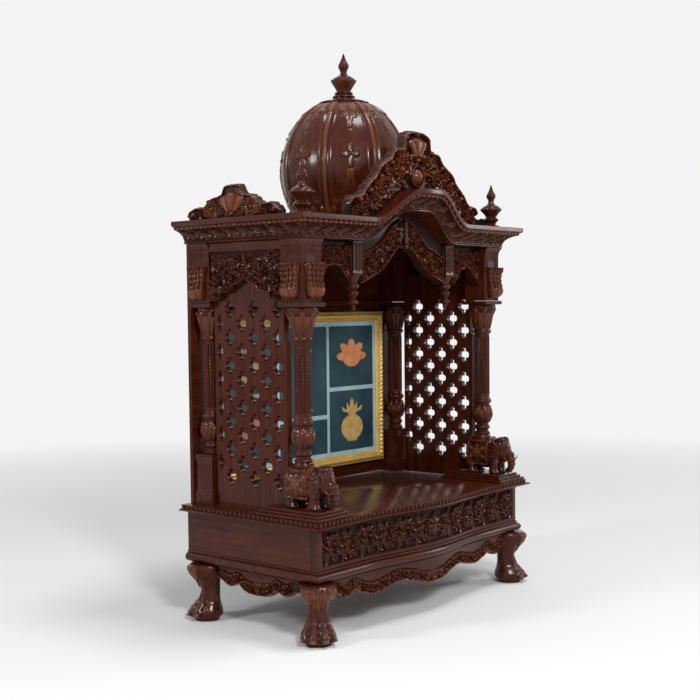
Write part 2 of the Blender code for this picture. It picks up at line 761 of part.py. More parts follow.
def build_picture():
    """Gilt frame hung on the back wall, holding one flat board."""
    back = BACK_Y - BACK_BOARD - FIT
    face = back - PICTURE_DEPTH
    low = PICTURE_Z
    high = PICTURE_Z + PICTURE_H
    rings = []
    for inset, y in ((0.0, back), (0.0, face + 0.005), (0.004, face), (PICTURE_BORDER * 0.6, face),
                     (PICTURE_BORDER, face + 0.007), (PICTURE_BORDER, back)):
        rings.append([(-PICTURE_HALF + inset, y, low + inset), (PICTURE_HALF - inset, y, low + inset),
                      (PICTURE_HALF - inset, y, high - inset), (-PICTURE_HALF + inset, y, high - inset)])
    points = [point for ring in rings for point in ring]
    faces = []
    for level in range(len(rings)):
        here = level * 4
        there = (level + 1) % len(rings) * 4
        for step in range(4):
            after = (step + 1) % 4
            faces.append([here + step, here + after, there + after, there + step])
    add_object("picture_frame", mesh_from("picture_frame", points, faces), gilt())

    edge = PICTURE_BORDER + FIT
    box("picture_panel", (-PICTURE_HALF + edge, back - PICTURE_PANEL, low + edge),
        (PICTURE_HALF - edge, back, high - edge), mount_board())


def build_crests():
    """Carved pediments that stand on the cornice."""
    low = ROOF_Z + FIT
    half = [(0.0, 1.0), (0.10, 0.989), (0.19, 0.936), (0.207, 0.807), (0.333, 0.775),
            (0.405, 0.68), (0.56, 0.572), (0.62, 0.476), (0.748, 0.358), (0.83, 0.251),
            (0.955, 0.219), (1.0, 0.155)]
    upper = mirrored(smooth_curve(scaled(half, FRONT_CREST_HALF, ROOF_Z, FRONT_CREST_H), 2))
    roof = [(x, bonnet(x)) for x in bonnet_stations()]
    rings = []
    for x in over_bonnet(upper, bonnet_stations()):
        z = height_at(upper, x)
        foot = low + (height_at(roof, x) if abs(x) < BONNET_HALF else 0.0)
        rings.append([(x, FRONT_CREST_Y - CREST_BOARD / 2, foot),
                      (x, FRONT_CREST_Y + CREST_BOARD / 2, foot),
                      (x, FRONT_CREST_Y + CREST_BOARD / 2, z),
                      (x, FRONT_CREST_Y - CREST_BOARD / 2, z)])
    loft("crest_front", rings, rosewood("crests"))

    side = [(0.0, 1.0), (0.16, 0.97), (0.235, 0.72), (0.44, 0.63), (0.625, 0.385), (0.83, 0.385),
            (1.0, 0.17)]
    upper = mirrored(smooth_curve(scaled(side, SIDE_CREST_HALF, ROOF_Z, SIDE_CREST_H), 2))
    outline = [(SIDE_CREST_Y + y, z) for y, z in upper]
    outline += [(outline[-1][0], low), (outline[0][0], low)]
    for name, sign in (("crest_left", -1), ("crest_right", 1)):
        x = sign * SIDE_CREST_X
        slab_of(name, outline, x - CREST_BOARD / 2, x + CREST_BOARD / 2, 0, rosewood("crests"))


def build_finials():
    """Turned spires on the two front corners."""
    foot = ROOF_Z + FIT
    profile = [(0.019, 0.0), (0.019, 0.005), (0.010, 0.008), (0.012, 0.014), (0.017, 0.018),
               (0.012, 0.024), (0.014, 0.030), (0.0235, 0.042), (0.019, 0.050), (0.008, 0.056),
               (0.006, 0.062), (0.010, 0.070), (0.009, 0.078), (0.004, 0.088), (0.001, 0.099)]
    for name, sign in (("finial_left", -1), ("finial_right", 1)):
        turned(name, [(radius, foot + z) for radius, z in profile],
               (sign * FINIAL_X, FINIAL_Y), rosewood("finials"), 12)


def build_dome():
    """Ribbed dome on a turned ring, with a lotus finial."""
    foot = ROOF_Z + FIT
    steps = 4 * DOME_GORES
    neck_z = DOME_WAIST_Z + DOME_RISE * sqrt(1 - (DOME_NECK_R / DOME_R) ** 2)
    levels = 12
    rings = []

    def ring_at(radius, z, rib):
        ring = []
        for step in range(steps):
            turn = 2 * pi * step / steps
            ridge = max(0.0, cos(DOME_GORES * turn)) ** 4
            reach = radius + rib * ridge
            ring.append((reach * cos(turn), DOME_Y + reach * sin(turn), z))
        return ring

    for radius, z in ((DOME_BASE_R, foot), (DOME_BASE_R, foot + 0.010),
                      (DOME_BASE_R - 0.006, foot + 0.013)):
        rings.append(ring_at(radius, z, 0.0))
    low_z = foot + 0.022
    for level in range(levels + 1):
        z = low_z + (neck_z - low_z) * sin(pi / 2 * level / levels)
        radius = DOME_R * sqrt(1 - ((z - DOME_WAIST_Z) / DOME_RISE) ** 2)
        rings.append(ring_at(radius - DOME_RIB, z, DOME_RIB))
    loft("dome", rings, rosewood("dome"))

    foot = neck_z + FIT
    collar = DOME_NECK_R - 0.0015
    profile = [(collar, 0.0), (collar, 0.036), (0.79 * collar, 0.072), (0.022, 0.109),
               (0.025, 0.145), (0.020, 0.199), (0.016, 0.254), (0.018, 0.326), (0.0265, 0.471),
               (0.020, 0.543), (0.008, 0.598), (0.007, 0.652), (0.011, 0.743), (0.009, 0.815),
               (0.004, 0.906), (0.001, 1.0)]
    turned("dome_finial", scaled_heights(profile, foot, SPIRE_H), (0.0, DOME_Y),
           rosewood("dome"), 16)


def build():
    clear_scene()
    build_legs()
    build_aprons()
    build_base()
    build_elephants()
    build_columns()
    build_heads()
    build_sides()
    build_valance()
    build_cornice()
    build_picture()
    build_crests()
    build_finials()
    build_dome()


build()
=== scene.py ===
"""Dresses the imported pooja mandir, a carved household shrine in dark lacquered hardwood.

X runs along the front, Y from the front to the back and Z up, in metres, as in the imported
model. Every new piece is a grid of points worked out with numpy: a section carried along a
path, a profile turned about an upright axis, or a board whose face is a height field.
"""

from math import cos, log, pi, radians, sin, tau

import bmesh
import bpy
import numpy as np
from mathutils import Matrix, Vector
from mathutils.geometry import delaunay_2d_cdt


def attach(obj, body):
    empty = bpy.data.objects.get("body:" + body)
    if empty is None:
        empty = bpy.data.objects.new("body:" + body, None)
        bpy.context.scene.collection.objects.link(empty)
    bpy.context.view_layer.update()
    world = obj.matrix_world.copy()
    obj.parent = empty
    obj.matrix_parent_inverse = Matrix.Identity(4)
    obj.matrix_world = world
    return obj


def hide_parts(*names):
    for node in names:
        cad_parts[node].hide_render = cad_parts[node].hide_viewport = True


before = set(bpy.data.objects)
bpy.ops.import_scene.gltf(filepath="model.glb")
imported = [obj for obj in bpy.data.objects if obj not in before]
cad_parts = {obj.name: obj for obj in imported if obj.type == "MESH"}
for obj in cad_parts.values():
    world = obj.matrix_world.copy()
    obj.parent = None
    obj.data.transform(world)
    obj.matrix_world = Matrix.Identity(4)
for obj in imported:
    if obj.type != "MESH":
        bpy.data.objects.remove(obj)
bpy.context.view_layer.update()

# Sizes shared with the solids
WIDTH = 0.762
BACK_Y = 0.203
FIT = 0.0003
WALL = 0.009
CARVED_THICK = 0.018
LEG_Z = 0.1177
FLOOR_Z = 0.142
SLAB_Z = 0.2263
BAND_H = 0.0128
BAY_Z = SLAB_Z + BAND_H
DECK_Z = 0.2553
HEAD_Z = 0.654
HEAD_H = 0.122
CORNICE_Z = 0.776
CORNICE_H = 0.045
ROOF_Z = 0.821
SLAB_HALF = 0.3735
SLAB_FRONT = -0.182
BOW_HALF = 0.5864 * SLAB_HALF
BOW_DEPTH = 0.021
MOULDING_INSET = 0.0155
PLINTH_INNER = 0.262
PLINTH_BACK = -0.006
PLINTH_INSET = 0.0105
PLINTH_STEP = 0.006
PLINTH_RISE = (DECK_Z - BAY_Z - FIT) / 3
PLINTH_SLOPE = 0.0008
BOX_INSET = 0.0245
FOOT_X = 0.335
FRONT_FOOT_Y = -0.143
BACK_FOOT_Y = 0.158
KNEE_HALF = 0.037
APRON_INSET = 0.028
APRON_DROP = 0.0537
APRON_HALF = 0.2985
SIDE_APRON_HALF = 0.1115
CORNICE_OUT = 0.041
HEAD_HALF = 0.028
BODY_HALF = 0.340
BODY_FRONT = -0.1185
COLUMN_X = 0.312
FRONT_COLUMN_Y = -0.0905
BACK_COLUMN_Y = 0.1655
BAY_HALF = 0.2837
RING_R = 0.0262
DROP_X = 0.1599
DROP_HALF = 0.015
VALANCE_Y = -0.0925
BONNET_RISE = 0.064
BONNET_HALF = DROP_X + 0.005
BONNET_FLAT = 0.028
BONNET_BOW = 0.024
FRONT_CREST_Y = -0.128
FRONT_CREST_HALF = 0.222
FRONT_CREST_H = 0.187
SIDE_CREST_X = 0.362
SIDE_CREST_Y = 0.0375
SIDE_CREST_HALF = 0.128
SIDE_CREST_H = 0.065
FINIAL_X = 0.326
FINIAL_Y = -0.107
DOME_Y = 0.060
DOME_R = 0.1415
DOME_RISE = 0.159
DOME_WAIST_Z = 0.938
DOME_NECK_R = 0.0574
DOME_BASE_R = 0.112
GORES = 8


# Finishes

class Nodes:
    """Short ways to add and join the nodes of one material or world."""

    def __init__(self, owner):
        self.made = owner
        owner.use_nodes = True
        self.tree = owner.node_tree
        self.shader = self.tree.nodes.get("Principled BSDF")

    def add(self, kind, settings=(), **sockets):
        """A new node with these settings, its sockets fed by name."""
        node = self.tree.nodes.new(kind)
        for key, value in dict(settings).items():
            setattr(node, key, value)
        for key, value in sockets.items():
            self.feed(node.inputs[key.replace("_", " ")], value)
        return node

    def feed(self, socket, value):
        """Joins an output to a socket, or sets the socket to a plain value."""
        if isinstance(value, bpy.types.NodeSocket):
            self.tree.links.new(value, socket)
        else:
            socket.default_value = value

    def ramp(self, factor, stops):
        """Colour between (place, colour) stops."""
        node = self.add("ShaderNodeValToRGB", Fac=factor)
        marks = node.color_ramp.elements
        while len(marks) < len(stops):
            marks.new(0.5)
        for mark, (place, colour) in zip(marks, stops):
            mark.position = place
            mark.color = (*colour, 1.0)
        return node.outputs["Color"]

    def math(self, operation, first, second):
        node = self.add("ShaderNodeMath", {"operation": operation})
        self.feed(node.inputs[0], first)
        self.feed(node.inputs[1], second)
        return node.outputs[0]

    def mix(self, factor, low, high):
        """One colour where the factor is 0 and the other where it is 1."""
        node = self.add("ShaderNodeMix", {"data_type": "RGBA"})
        self.feed(node.inputs["Factor"], factor)
        for socket, value in ((node.inputs[6], low), (node.inputs[7], high)):
            self.feed(socket, value if isinstance(value, bpy.types.NodeSocket) else (*value, 1.0))
        return node.outputs[2]

    def spread(self, value, low, high, to_low, to_high):
        """A value carried from one range to another, and held at its ends."""
        node = self.add("ShaderNodeMapRange", Value=value)
        for key, number in (("From Min", low), ("From Max", high), ("To Min", to_low),
                            ("To Max", to_high)):
            node.inputs[key].default_value = number
        return node.outputs["Result"]

    def noise(self, scale, detail, stretch=(1, 1, 1)):
        """Noise on the piece's own coordinates, stretched along its grain."""
        place = self.add("ShaderNodeTexCoord").outputs["Object"]
        turned = self.add("ShaderNodeMapping", Vector=place, Scale=stretch).outputs["Vector"]
        return self.add("ShaderNodeTexNoise", Vector=turned, Scale=scale, Detail=detail,
                        Roughness=0.62).outputs["Fac"]

    def carved(self):
        """How far the surface stands out of the carving: -1 in hollows, 1 on high places."""
        return self.add("ShaderNodeAttribute", {"attribute_name": "carve"}).outputs["Fac"]

    def bump(self, height, strength, distance):
        """Tips the shader's normal by the slope of a height."""
        node = self.add("ShaderNodeBump", Height=height, Strength=strength, Distance=distance)
        self.feed(self.shader.inputs["Normal"], node.outputs["Normal"])


def lacquer(name, grain):
    """Red-brown hardwood under gloss lacquer. Streaks run along the grain axis, hollows are
    duller and darkened with painted shade, high places are a little lighter with wear and a
    painted highlight, and fine pores show in the gloss."""
    nodes = Nodes(bpy.data.materials.new(name))
    stretch = [1.0, 1.0, 1.0]
    stretch[grain] = 0.09
    streak = nodes.noise(95.0, 7.0, stretch)
    cloud = nodes.noise(9.0, 3.0)
    wood = nodes.ramp(streak, ((0.28, (0.025, 0.0042, 0.0017)), (0.5, (0.056, 0.0100, 0.0037)),
                               (0.74, (0.096, 0.0208, 0.0074))))
    wood = nodes.mix(nodes.spread(cloud, 0.35, 0.7, 0.0, 0.55), wood, (0.042, 0.0066, 0.0025))
    # painted shade: the carving's hollows are mixed towards near black
    hollow = nodes.spread(nodes.carved(), -1.0, 0.0, 0.85, 0.0)
    wood = nodes.mix(hollow, wood, (0.0070, 0.0016, 0.0008))
    # wear and a painted highlight: high places are mixed towards a lighter brown
    wear_and_highlight = nodes.spread(nodes.carved(), 0.35, 1.0, 0.0, 0.6)
    wood = nodes.mix(wear_and_highlight, wood, (0.180, 0.055, 0.020))
    nodes.feed(nodes.shader.inputs["Base Color"], wood)
    rough = nodes.spread(nodes.noise(38.0, 4.0), 0.3, 0.75, 0.15, 0.28)
    dull = nodes.spread(nodes.carved(), -1.0, -0.25, 0.75, 0.0)
    nodes.feed(nodes.shader.inputs["Roughness"], nodes.math("MAXIMUM", rough, dull))
    nodes.shader.inputs["Specular IOR Level"].default_value = 0.17
    nodes.shader.inputs["Coat Weight"].default_value = 0.09
    nodes.shader.inputs["Coat Roughness"].default_value = 0.06
    pores = nodes.noise(900.0, 2.0, [3.0 if axis != grain else 0.25 for axis in range(3)])
    nodes.bump(pores, 0.05, 0.0004)
    return nodes.made


def gilding():
    """Warm gold paint on carved wood, browner in its hollows with painted shade and paler on its high
    places with a painted highlight.
    """
    nodes = Nodes(bpy.data.materials.new("gilding"))
    cloud = nodes.noise(30.0, 4.0)
    gold = nodes.ramp(cloud, ((0.3, (0.72, 0.425, 0.085)), (0.7, (0.93, 0.62, 0.170))))
    # painted shade: hollows are mixed towards brown
    gold = nodes.mix(nodes.spread(nodes.carved(), -1.0, 0.1, 0.7, 0.0), gold, (0.31, 0.155, 0.028))
    # painted highlight: high places are mixed towards pale gold
    gold = nodes.mix(nodes.spread(nodes.carved(), 0.3, 1.0, 0.0, 0.6), gold, (0.98, 0.81, 0.40))
    nodes.feed(nodes.shader.inputs["Base Color"], gold)
    nodes.feed(nodes.shader.inputs["Roughness"], nodes.spread(cloud, 0.3, 0.7, 0.42, 0.30))
    nodes.shader.inputs["Metallic"].default_value = 0.35
    nodes.bump(nodes.noise(420.0, 3.0), 0.15, 0.0004)
    return nodes.made


def printed(name, low, high, scale=22.0):
    """Smooth printed paper, clouded between two colours."""
    nodes = Nodes(bpy.data.materials.new(name))
    cloud = nodes.noise(scale, 5.0)
    nodes.feed(nodes.shader.inputs["Base Color"], nodes.ramp(cloud, ((0.3, low), (0.72, high))))
    nodes.feed(nodes.shader.inputs["Roughness"], nodes.spread(cloud, 0.3, 0.7, 0.28, 0.40))
    nodes.bump(nodes.noise(1100.0, 2.0), 0.05, 0.0003)
    return nodes.made


ALONG_X = lacquer("lacquer_along_x", 0)
ALONG_Y = lacquer("lacquer_along_y", 1)
ALONG_Z = lacquer("lacquer_along_z", 2)
GILDING = gilding()


# Surfaces

def grid_faces(rows, columns, ring=False):
    """Quads between neighbouring rows; columns always close round, rows only in a ring."""
    across = np.arange(columns)
    along = np.arange(rows if ring else rows - 1)[:, None]
    here = along * columns
    there = (along + 1) % rows * columns
    after = (across + 1) % columns
    return np.stack((here + across, here + after, there + after, there + across), -1).reshape(-1, 4)


def solid(name, points, finish, nodes=(), tone=None, ring=False):
    """A closed piece from a grid of points: each row is one section all the way round. The two
    end rows are capped, or joined to each other in a ring. The signed volume that the quads
    span from the middle of the piece says which way the faces must turn to point outwards."""
    rows, columns = points.shape[:2]
    flat = points.reshape(-1, 3)
    quads = grid_faces(rows, columns, ring)
    corner = flat[quads] - flat.mean(0)
    span = np.cross(corner[:, 1] - corner[:, 0], corner[:, 3] - corner[:, 0])
    outward = np.sum(span * corner.mean(1)) > 0
    caps = [] if ring else [list(range(columns))[::-1],
                            list(range((rows - 1) * columns, rows * columns))]
    faces = quads.tolist() + caps
    if not outward:
        faces = [face[::-1] for face in faces]
    return finished(name, flat, faces, finish, nodes, tone)


def finished(name, flat, faces, finish, nodes=(), tone=None, crisp=38):
    """Makes the object, gives it its finish, and says what it rides on and stands for. Tone is
    how far each point stands out of the carving; edges are crisp from that many degrees on."""
    mesh = bpy.data.meshes.new(name)
    mesh.from_pydata(flat.tolist(), [], faces)
    if tone is not None:
        mesh.attributes.new("carve", "FLOAT", "POINT").data.foreach_set(
            "value", np.ascontiguousarray(np.clip(tone, -1, 1), dtype=np.float32).ravel())
    mesh.shade_smooth()
    mesh.set_sharp_from_angle(angle=radians(crisp))
    mesh.materials.append(finish)
    piece = bpy.data.objects.new(name, mesh)
    bpy.context.collection.objects.link(piece)
    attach(piece, "root")
    if nodes:
        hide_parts(*nodes)
    return piece


def smooth(points, steps=10):
    """Catmull-Rom curve through (a, b) pairs, the same number of steps between each two."""
    held = np.array([points[0], *points, points[-1]], float)
    a, b, c, d = held[:-3], held[1:-2], held[2:-1], held[3:]
    t = (np.arange(steps) / steps)[:, None, None]
    curve = 0.5 * (2 * b + (c - a) * t + (2 * a - 5 * b + 4 * c - d) * t ** 2
                   + (3 * b - a - 3 * c + d) * t ** 3)
    return np.vstack((curve.transpose(1, 0, 2).reshape(-1, 2), held[-1:]))


def scaled(points, half, base, rise):
    """(share, share) pairs as widths and heights."""
    return [(half * a, base + rise * b) for a, b in points]


def edge_line(points, half, base, rise):
    """Height of a curved edge at any place along it, the same on both sides of its middle."""
    curve = smooth(scaled(points, half, base, rise))
    return lambda a: np.interp(np.abs(a), curve[:, 0], curve[:, 1])


def profile(*runs):
    """Points of one line from runs of (points, steps): a curve with so many steps between its
    points, or a straight run where steps is 0."""
    return [tuple(point) for points, steps in runs
            for point in (smooth(points, steps) if steps else points)]


def squared(theta):
    """How much further than a circle its square reaches, at an angle from its middle."""
    return 1 / np.maximum(np.abs(np.cos(theta)), np.abs(np.sin(theta)))


def dense(points, gap):
    """Straight runs between (a, b) pairs, each cut into steps no longer than the gap."""
    points = np.array(points, float)
    runs = []
    for start, end in zip(points, points[1:]):
        count = max(1, int(np.ceil(np.hypot(*(end - start)) / gap)))
        runs.append(start + (end - start) * (np.arange(count) / count)[:, None])
    return np.vstack(runs + [points[-1:]])


def bow(x, half=BOW_HALF, depth=BOW_DEPTH):
    """Serpentine swelling: half a cosine wave forward between -half and half."""
    return np.where(np.abs(x) < half, depth * 0.5 * (1 + np.cos(pi * np.abs(x) / half)), 0.0)


def bonnet(x):
    """Rise of the cornice over the middle: flat at its top, then half a cosine wave down."""
    t = np.clip((np.abs(x) - BONNET_FLAT) / (BONNET_HALF - BONNET_FLAT), 0, 1)
    return BONNET_RISE * 0.5 * (1 + np.cos(pi * t))


def ease(value, low, high):
    """Smooth step from 0 at low to 1 at high."""
    t = np.clip((value - low) / (high - low), 0, 1)
    return t * t * (3 - 2 * t)


# Carving: each motif gives heights from 0 to 1 over flat coordinates a, b

def round_over(distance):
    """Rounded section: 1 on the line, 0 at a distance of 1, a little fuller than a parabola."""
    return np.clip(1 - distance ** 2, 0, 1) ** 0.72


def laid(rise, motif):
    """A motif laid over the carving so far, which it hides but for a quarter of its height."""
    return np.where(motif > 0.02, np.maximum(motif, 0.25 * rise), rise)


def lobe(a, b, root, angle, length, width, bend=0.0):
    """Leaf lobe: along its middle line, which bends, the half width is that of a drop that
    swells past the middle. Its section is half round, with a crease along the middle line."""
    x, y = a - root[0], b - root[1]
    s = (x * cos(angle) + y * sin(angle)) / length
    t = (y * cos(angle) - x * sin(angle)) / length - bend * s * s
    half = np.sqrt(np.clip(1 - (2 * np.clip(s, 0, 1) ** 1.35 - 1) ** 2, 0, 1)) * width / length
    across = np.abs(t) / np.maximum(half, 1e-6)
    rise = round_over(across) * (0.45 + 0.55 * np.clip(s, 0, 1)) - 0.34 * np.exp(-(across / 0.2) ** 2)
    return np.where((s > 0) & (s < 1) & (across < 1), np.clip(rise, 0, 1), 0.0)


def frond(a, b, root, angle, size, pairs=4, spread=0.85):
    """Acanthus frond: pairs of lobes off a straight stem, each pair shorter than the one before
    and less spread, and one lobe at the tip."""
    x, y = root
    step = size * 0.62 / pairs
    rise = np.zeros_like(a)
    for index in range(pairs):
        share = index / pairs
        reach = size * (0.50 - 0.20 * share)
        for side in (-1, 1):
            rise = laid(rise, (0.72 + 0.2 * share) * lobe(
                a, b, (x, y), angle + side * (spread - 0.3 * share), reach, reach * 0.28,
                -0.42 * side))
        x, y = x + step * cos(angle), y + step * sin(angle)
    return laid(rise, lobe(a, b, (x, y), angle, size * 0.42, size * 0.13))


def scroll(a, b, centre, size, start, hand):
    """Volute: a half-round cord on a logarithmic spiral that closes in by 2.5 a turn, with a
    round eye."""
    x, y = a - centre[0], (b - centre[1]) * hand
    radius = np.hypot(x, y) + 1e-9
    growth = log(2.5) / tau
    turn = np.log(size / radius) / growth - (np.arctan2(y, x) - start * hand)
    off = np.abs((turn + pi) % tau - pi) * growth / 0.20
    cord = round_over(off) * (radius < size * 1.02) * (radius > size * 0.16)
    return np.maximum(cord * 0.8, round_over(radius / (size * 0.30)))


def flower(a, b, centre, size, petals):
    """Rosette: petals round a boss; the petals' edge and height follow a cosine of the angle."""
    x, y = a - centre[0], b - centre[1]
    radius = np.hypot(x, y) / size
    wave = np.abs(np.cos(petals * np.arctan2(y, x) / 2))
    rise = round_over((radius - 0.56) / 0.44) * (0.25 + 0.75 * wave) * (radius < 0.6 + 0.4 * wave)
    return np.maximum(rise * 0.8, round_over(radius / 0.27))


def whorl(a, b, centre, size, start, hand, leaves):
    """Carved whorl: a small volute with broad bent leaves thrown off all round it."""
    rise = np.zeros_like(a)
    for index in range(leaves):
        angle = start + hand * (0.3 + index * 5.6 / leaves)
        reach = size * (0.86 - 0.05 * index)
        root = (centre[0] + size * 0.34 * cos(angle), centre[1] + size * 0.34 * sin(angle))
        rise = laid(rise, lobe(a, b, root, angle + hand * 0.80, reach, reach * 0.36, 0.45 * hand))
    return laid(rise, 0.85 * scroll(a, b, centre, size * 0.58, start, hand))


def foliage(a, b, fronds, whorls, leaves=7):
    """Fronds, each (place, height, angle in degrees, size), and laid over them whorls, each
    (place, height, size, hand)."""
    rise = np.zeros_like(a)
    for place, height, angle, size in fronds:
        rise = laid(rise, frond(a, b, (place, height), radians(angle), size))
    for place, height, size, hand in whorls:
        rise = laid(rise, whorl(a, b, (place, height), size, pi * (hand > 0), hand, leaves))
    return rise


def strand(a, b, path, radius):
    """Half-round cord along a line of points: 1 on it, 0 a radius away."""
    path = np.asarray(path, float)
    nearest = np.full(a.shape, 1e9)
    for (x0, y0), (x1, y1) in zip(path, path[1:]):
        span = (x1 - x0) ** 2 + (y1 - y0) ** 2
        t = np.clip(((a - x0) * (x1 - x0) + (b - y0) * (y1 - y0)) / span, 0, 1)
        nearest = np.minimum(nearest, np.hypot(a - x0 - t * (x1 - x0), b - y0 - t * (y1 - y0)))
    return round_over(nearest / radius)


def beads(along, across, pitch, radius):
    """Row of round beads on the line across = 0."""
    local = (along + pitch / 2) % pitch - pitch / 2
    return round_over(np.hypot(local, across) / radius)


def rimmed(rise, along, above, roll, row):
    """The carving with a rolled rim near the edge, (share, middle, half width) of it, and a row
    of beads over that, (share, height, pitch, radius)."""
    share, middle, half = roll
    rise = np.maximum(rise, share * round_over((above - middle) / half))
    share, height, pitch, radius = row
    return np.maximum(rise, share * beads(along, above - height, pitch, radius))


def petal_row(theta, level, count, shift=0.0):
    """Row of pointed petals round a turned piece. Level runs from 0 at their roots to 1 at
    their tips; each has a raised rim, a crease and a half-round section."""
    u = ((theta * count / tau + shift) % 1.0 - 0.5) * 2
    inside = (level > 0) & (level < 1)
    half = np.sqrt(np.clip(1 - np.clip(level, 0, 1) ** 2.4, 0, 1)) + 1e-6
    across = np.abs(u) / half
    rise = round_over(across) * (0.6 + 0.4 * np.clip(level, 0, 1)) - 0.3 * np.exp(-(across / 0.16) ** 2)
    return np.where(inside & (across < 1), np.clip(rise, 0, 1), 0.0)


def board(node, along, low, high, thick, relief, to_world, finish, rows, lip=0.002):
    """Carved board in place of a node: each station has one closed section, its face from the
    lower to the upper edge, raised by relief(a, b) and rounded over at the edges, and its flat
    back."""
    low, high = np.broadcast_to(low, along.shape), np.broadcast_to(high, along.shape)
    share = np.linspace(0, 1, rows)
    a = np.repeat(along[:, None], rows, 1)
    b = low[:, None] + (high - low)[:, None] * share
    out = relief(a, b)
    tone = np.clip(out / 0.004, -1, 1)
    edge = np.minimum(b - low[:, None], high[:, None] - b)
    edge = np.minimum(edge, np.minimum(a - along[0], along[-1] - a))
    out = out - lip * (1 - round_over(1 - np.clip(edge / lip, 0, 1)))
    back = np.full((len(along), 1), -thick)
    a = np.hstack((a, along[:, None], along[:, None]))
    b = np.hstack((b, high[:, None], low[:, None]))
    out = np.hstack((out, back, back))
    # painted shade: the flat back and its edge rows take a dark tone
    back_shade = np.full_like(back, -0.8)
    tone = np.hstack((tone, back_shade, back_shade))
    return solid(f"carved_{node}", np.stack(to_world(a, b, out), -1), finish, (node,), tone)


def turned(name, centre, outline, finish, nodes=(), detail=None, around=64, gap=0.0019,
           shape=None):
    """A (radius, height) outline turned about an upright axis. detail(theta, z) is added to the
    radius; shape(theta, z) multiplies it, where a section isn't round."""
    line = dense(outline, gap)
    theta = np.arange(around) * tau / around
    r = np.repeat(line[:, :1], around, 1)
    z = np.repeat(line[:, 1:], around, 1)
    th = np.repeat(theta[None, :], len(line), 0)
    raised = detail(th, z) if detail else np.zeros_like(r)
    r = r * (shape(th, z) if shape else 1.0) + raised
    points = np.stack((centre[0] + r * np.cos(th), centre[1] + r * np.sin(th), z), -1)
    return solid(name, points, finish, nodes, np.clip(raised / 0.003, -1, 1))


def on_front(face, half=0.0, depth=0.0):
    """Puts a board's face on the front, looking towards -Y, swelling forward where it bows."""
    return lambda a, b, out: (a, face - (bow(a, half, depth) if half else 0.0) - out, b)


def on_side(sign, face, middle):
    """Puts a board's face on the left or the right side, looking outwards, with its middle at
    that place along the depth."""
    return lambda a, b, out: (sign * (face + out), a + middle, b)


SIDES = (("left", -1), ("right", 1))


# Legs and aprons

def build_legs():
    """Cabriole leg: rings round an axis that leans outwards along the diagonal. The reach of a
    ring is its half width, plus toes and tendons that follow |cos| of the angle from the
    diagonal, plus long drop-shaped leaves that hang over the knee."""
    shape = smooth([(0.056, 0.80), (0.10, 0.92), (0.17, 0.93), (0.263, 0.80), (0.365, 0.63),
                    (0.527, 0.55), (0.68, 0.65), (0.816, 0.89), (0.918, 1.0), (0.97, 0.98),
                    (1.0, 0.90)], 8)
    shift = [0.10, 0.13, 0.08, -0.03, -0.11, -0.03, 0.13, 0.18, 0.10]
    shift_at = [0.0, 0.153, 0.263, 0.365, 0.527, 0.68, 0.816, 0.918, 1.0]
    level = np.concatenate(([0.0, 0.045, 0.052], np.linspace(0.058, 1.0, 68)))[:, None]
    half = np.interp(level, shape[:, 0], shape[:, 1])
    half = np.where(level < 0.05, 0.70, np.where(level < 0.055, 0.74, half))
    out = KNEE_HALF * np.interp(level, shift_at, shift) / 2 ** 0.5
    theta = np.arange(96)[None, :] * tau / 96
    off = (theta - pi / 4 + pi) % tau - pi
    facing = ease(np.abs(off), radians(92), radians(70))
    toes = np.abs(np.cos(pi * (off - radians(18)) / radians(36)))
    low = ease(level, 0.05, 0.08)
    knuckles = 1 + 0.45 * np.cos(tau * (level - 0.115) / 0.105)
    tendon = 0.0044 * (toes - 0.6) * knuckles * low * ease(level, 0.40, 0.20) * facing
    tendon = tendon + 0.0030 * (toes - 0.6) * ease(level, 0.62, 0.40) * ease(level, 0.16, 0.34) * facing
    nail = 0.0038 * np.exp(-((level - 0.105) / 0.035) ** 2) * ease(toes, 0.6, 1.0) * facing * low
    a = off * KNEE_HALF
    b = level * LEG_Z + 0 * off
    leaf = np.zeros_like(a + b)
    for place, length in ((0, 0.058), (-1, 0.051), (1, 0.051), (-2, 0.044), (2, 0.044),
                          (-3, 0.036), (3, 0.036)):
        root = (place * 0.0122, LEG_Z + 0.006)
        leaf = np.maximum(leaf, lobe(a, b, root, -pi / 2 - place * 0.04, length, 0.0072, 0))
    leaf = leaf * ease(np.abs(off), radians(105), radians(85))
    flat = ease(level, 0.985, 0.95)
    raised = tendon + nail + 0.0050 * leaf * flat
    reach = KNEE_HALF * half * (1 + 0.03 * np.cos(4 * theta)) + raised
    reach = reach + 0.004 * np.clip(np.cos(off), 0, 1) * np.exp(-((level - 0.13) / 0.08) ** 2)
    # painted shade: the lowest rings, under the paw, are toned darker
    tone = np.clip(raised / 0.003 - 0.25 * (level < 0.05), -1, 1)
    for side, x_sign in SIDES:
        for end, y_sign, foot_y in (("front", -1, FRONT_FOOT_Y), ("back", 1, BACK_FOOT_Y)):
            x = x_sign * np.minimum(FOOT_X + out + reach * np.cos(theta), WIDTH / 2)
            y = np.minimum(foot_y + y_sign * (out + reach * np.sin(theta)), BACK_Y)
            name = f"leg_{end}_{side}"
            solid(f"carved_{name}", np.stack((x, y, b), -1), ALONG_Z, (name,), tone)


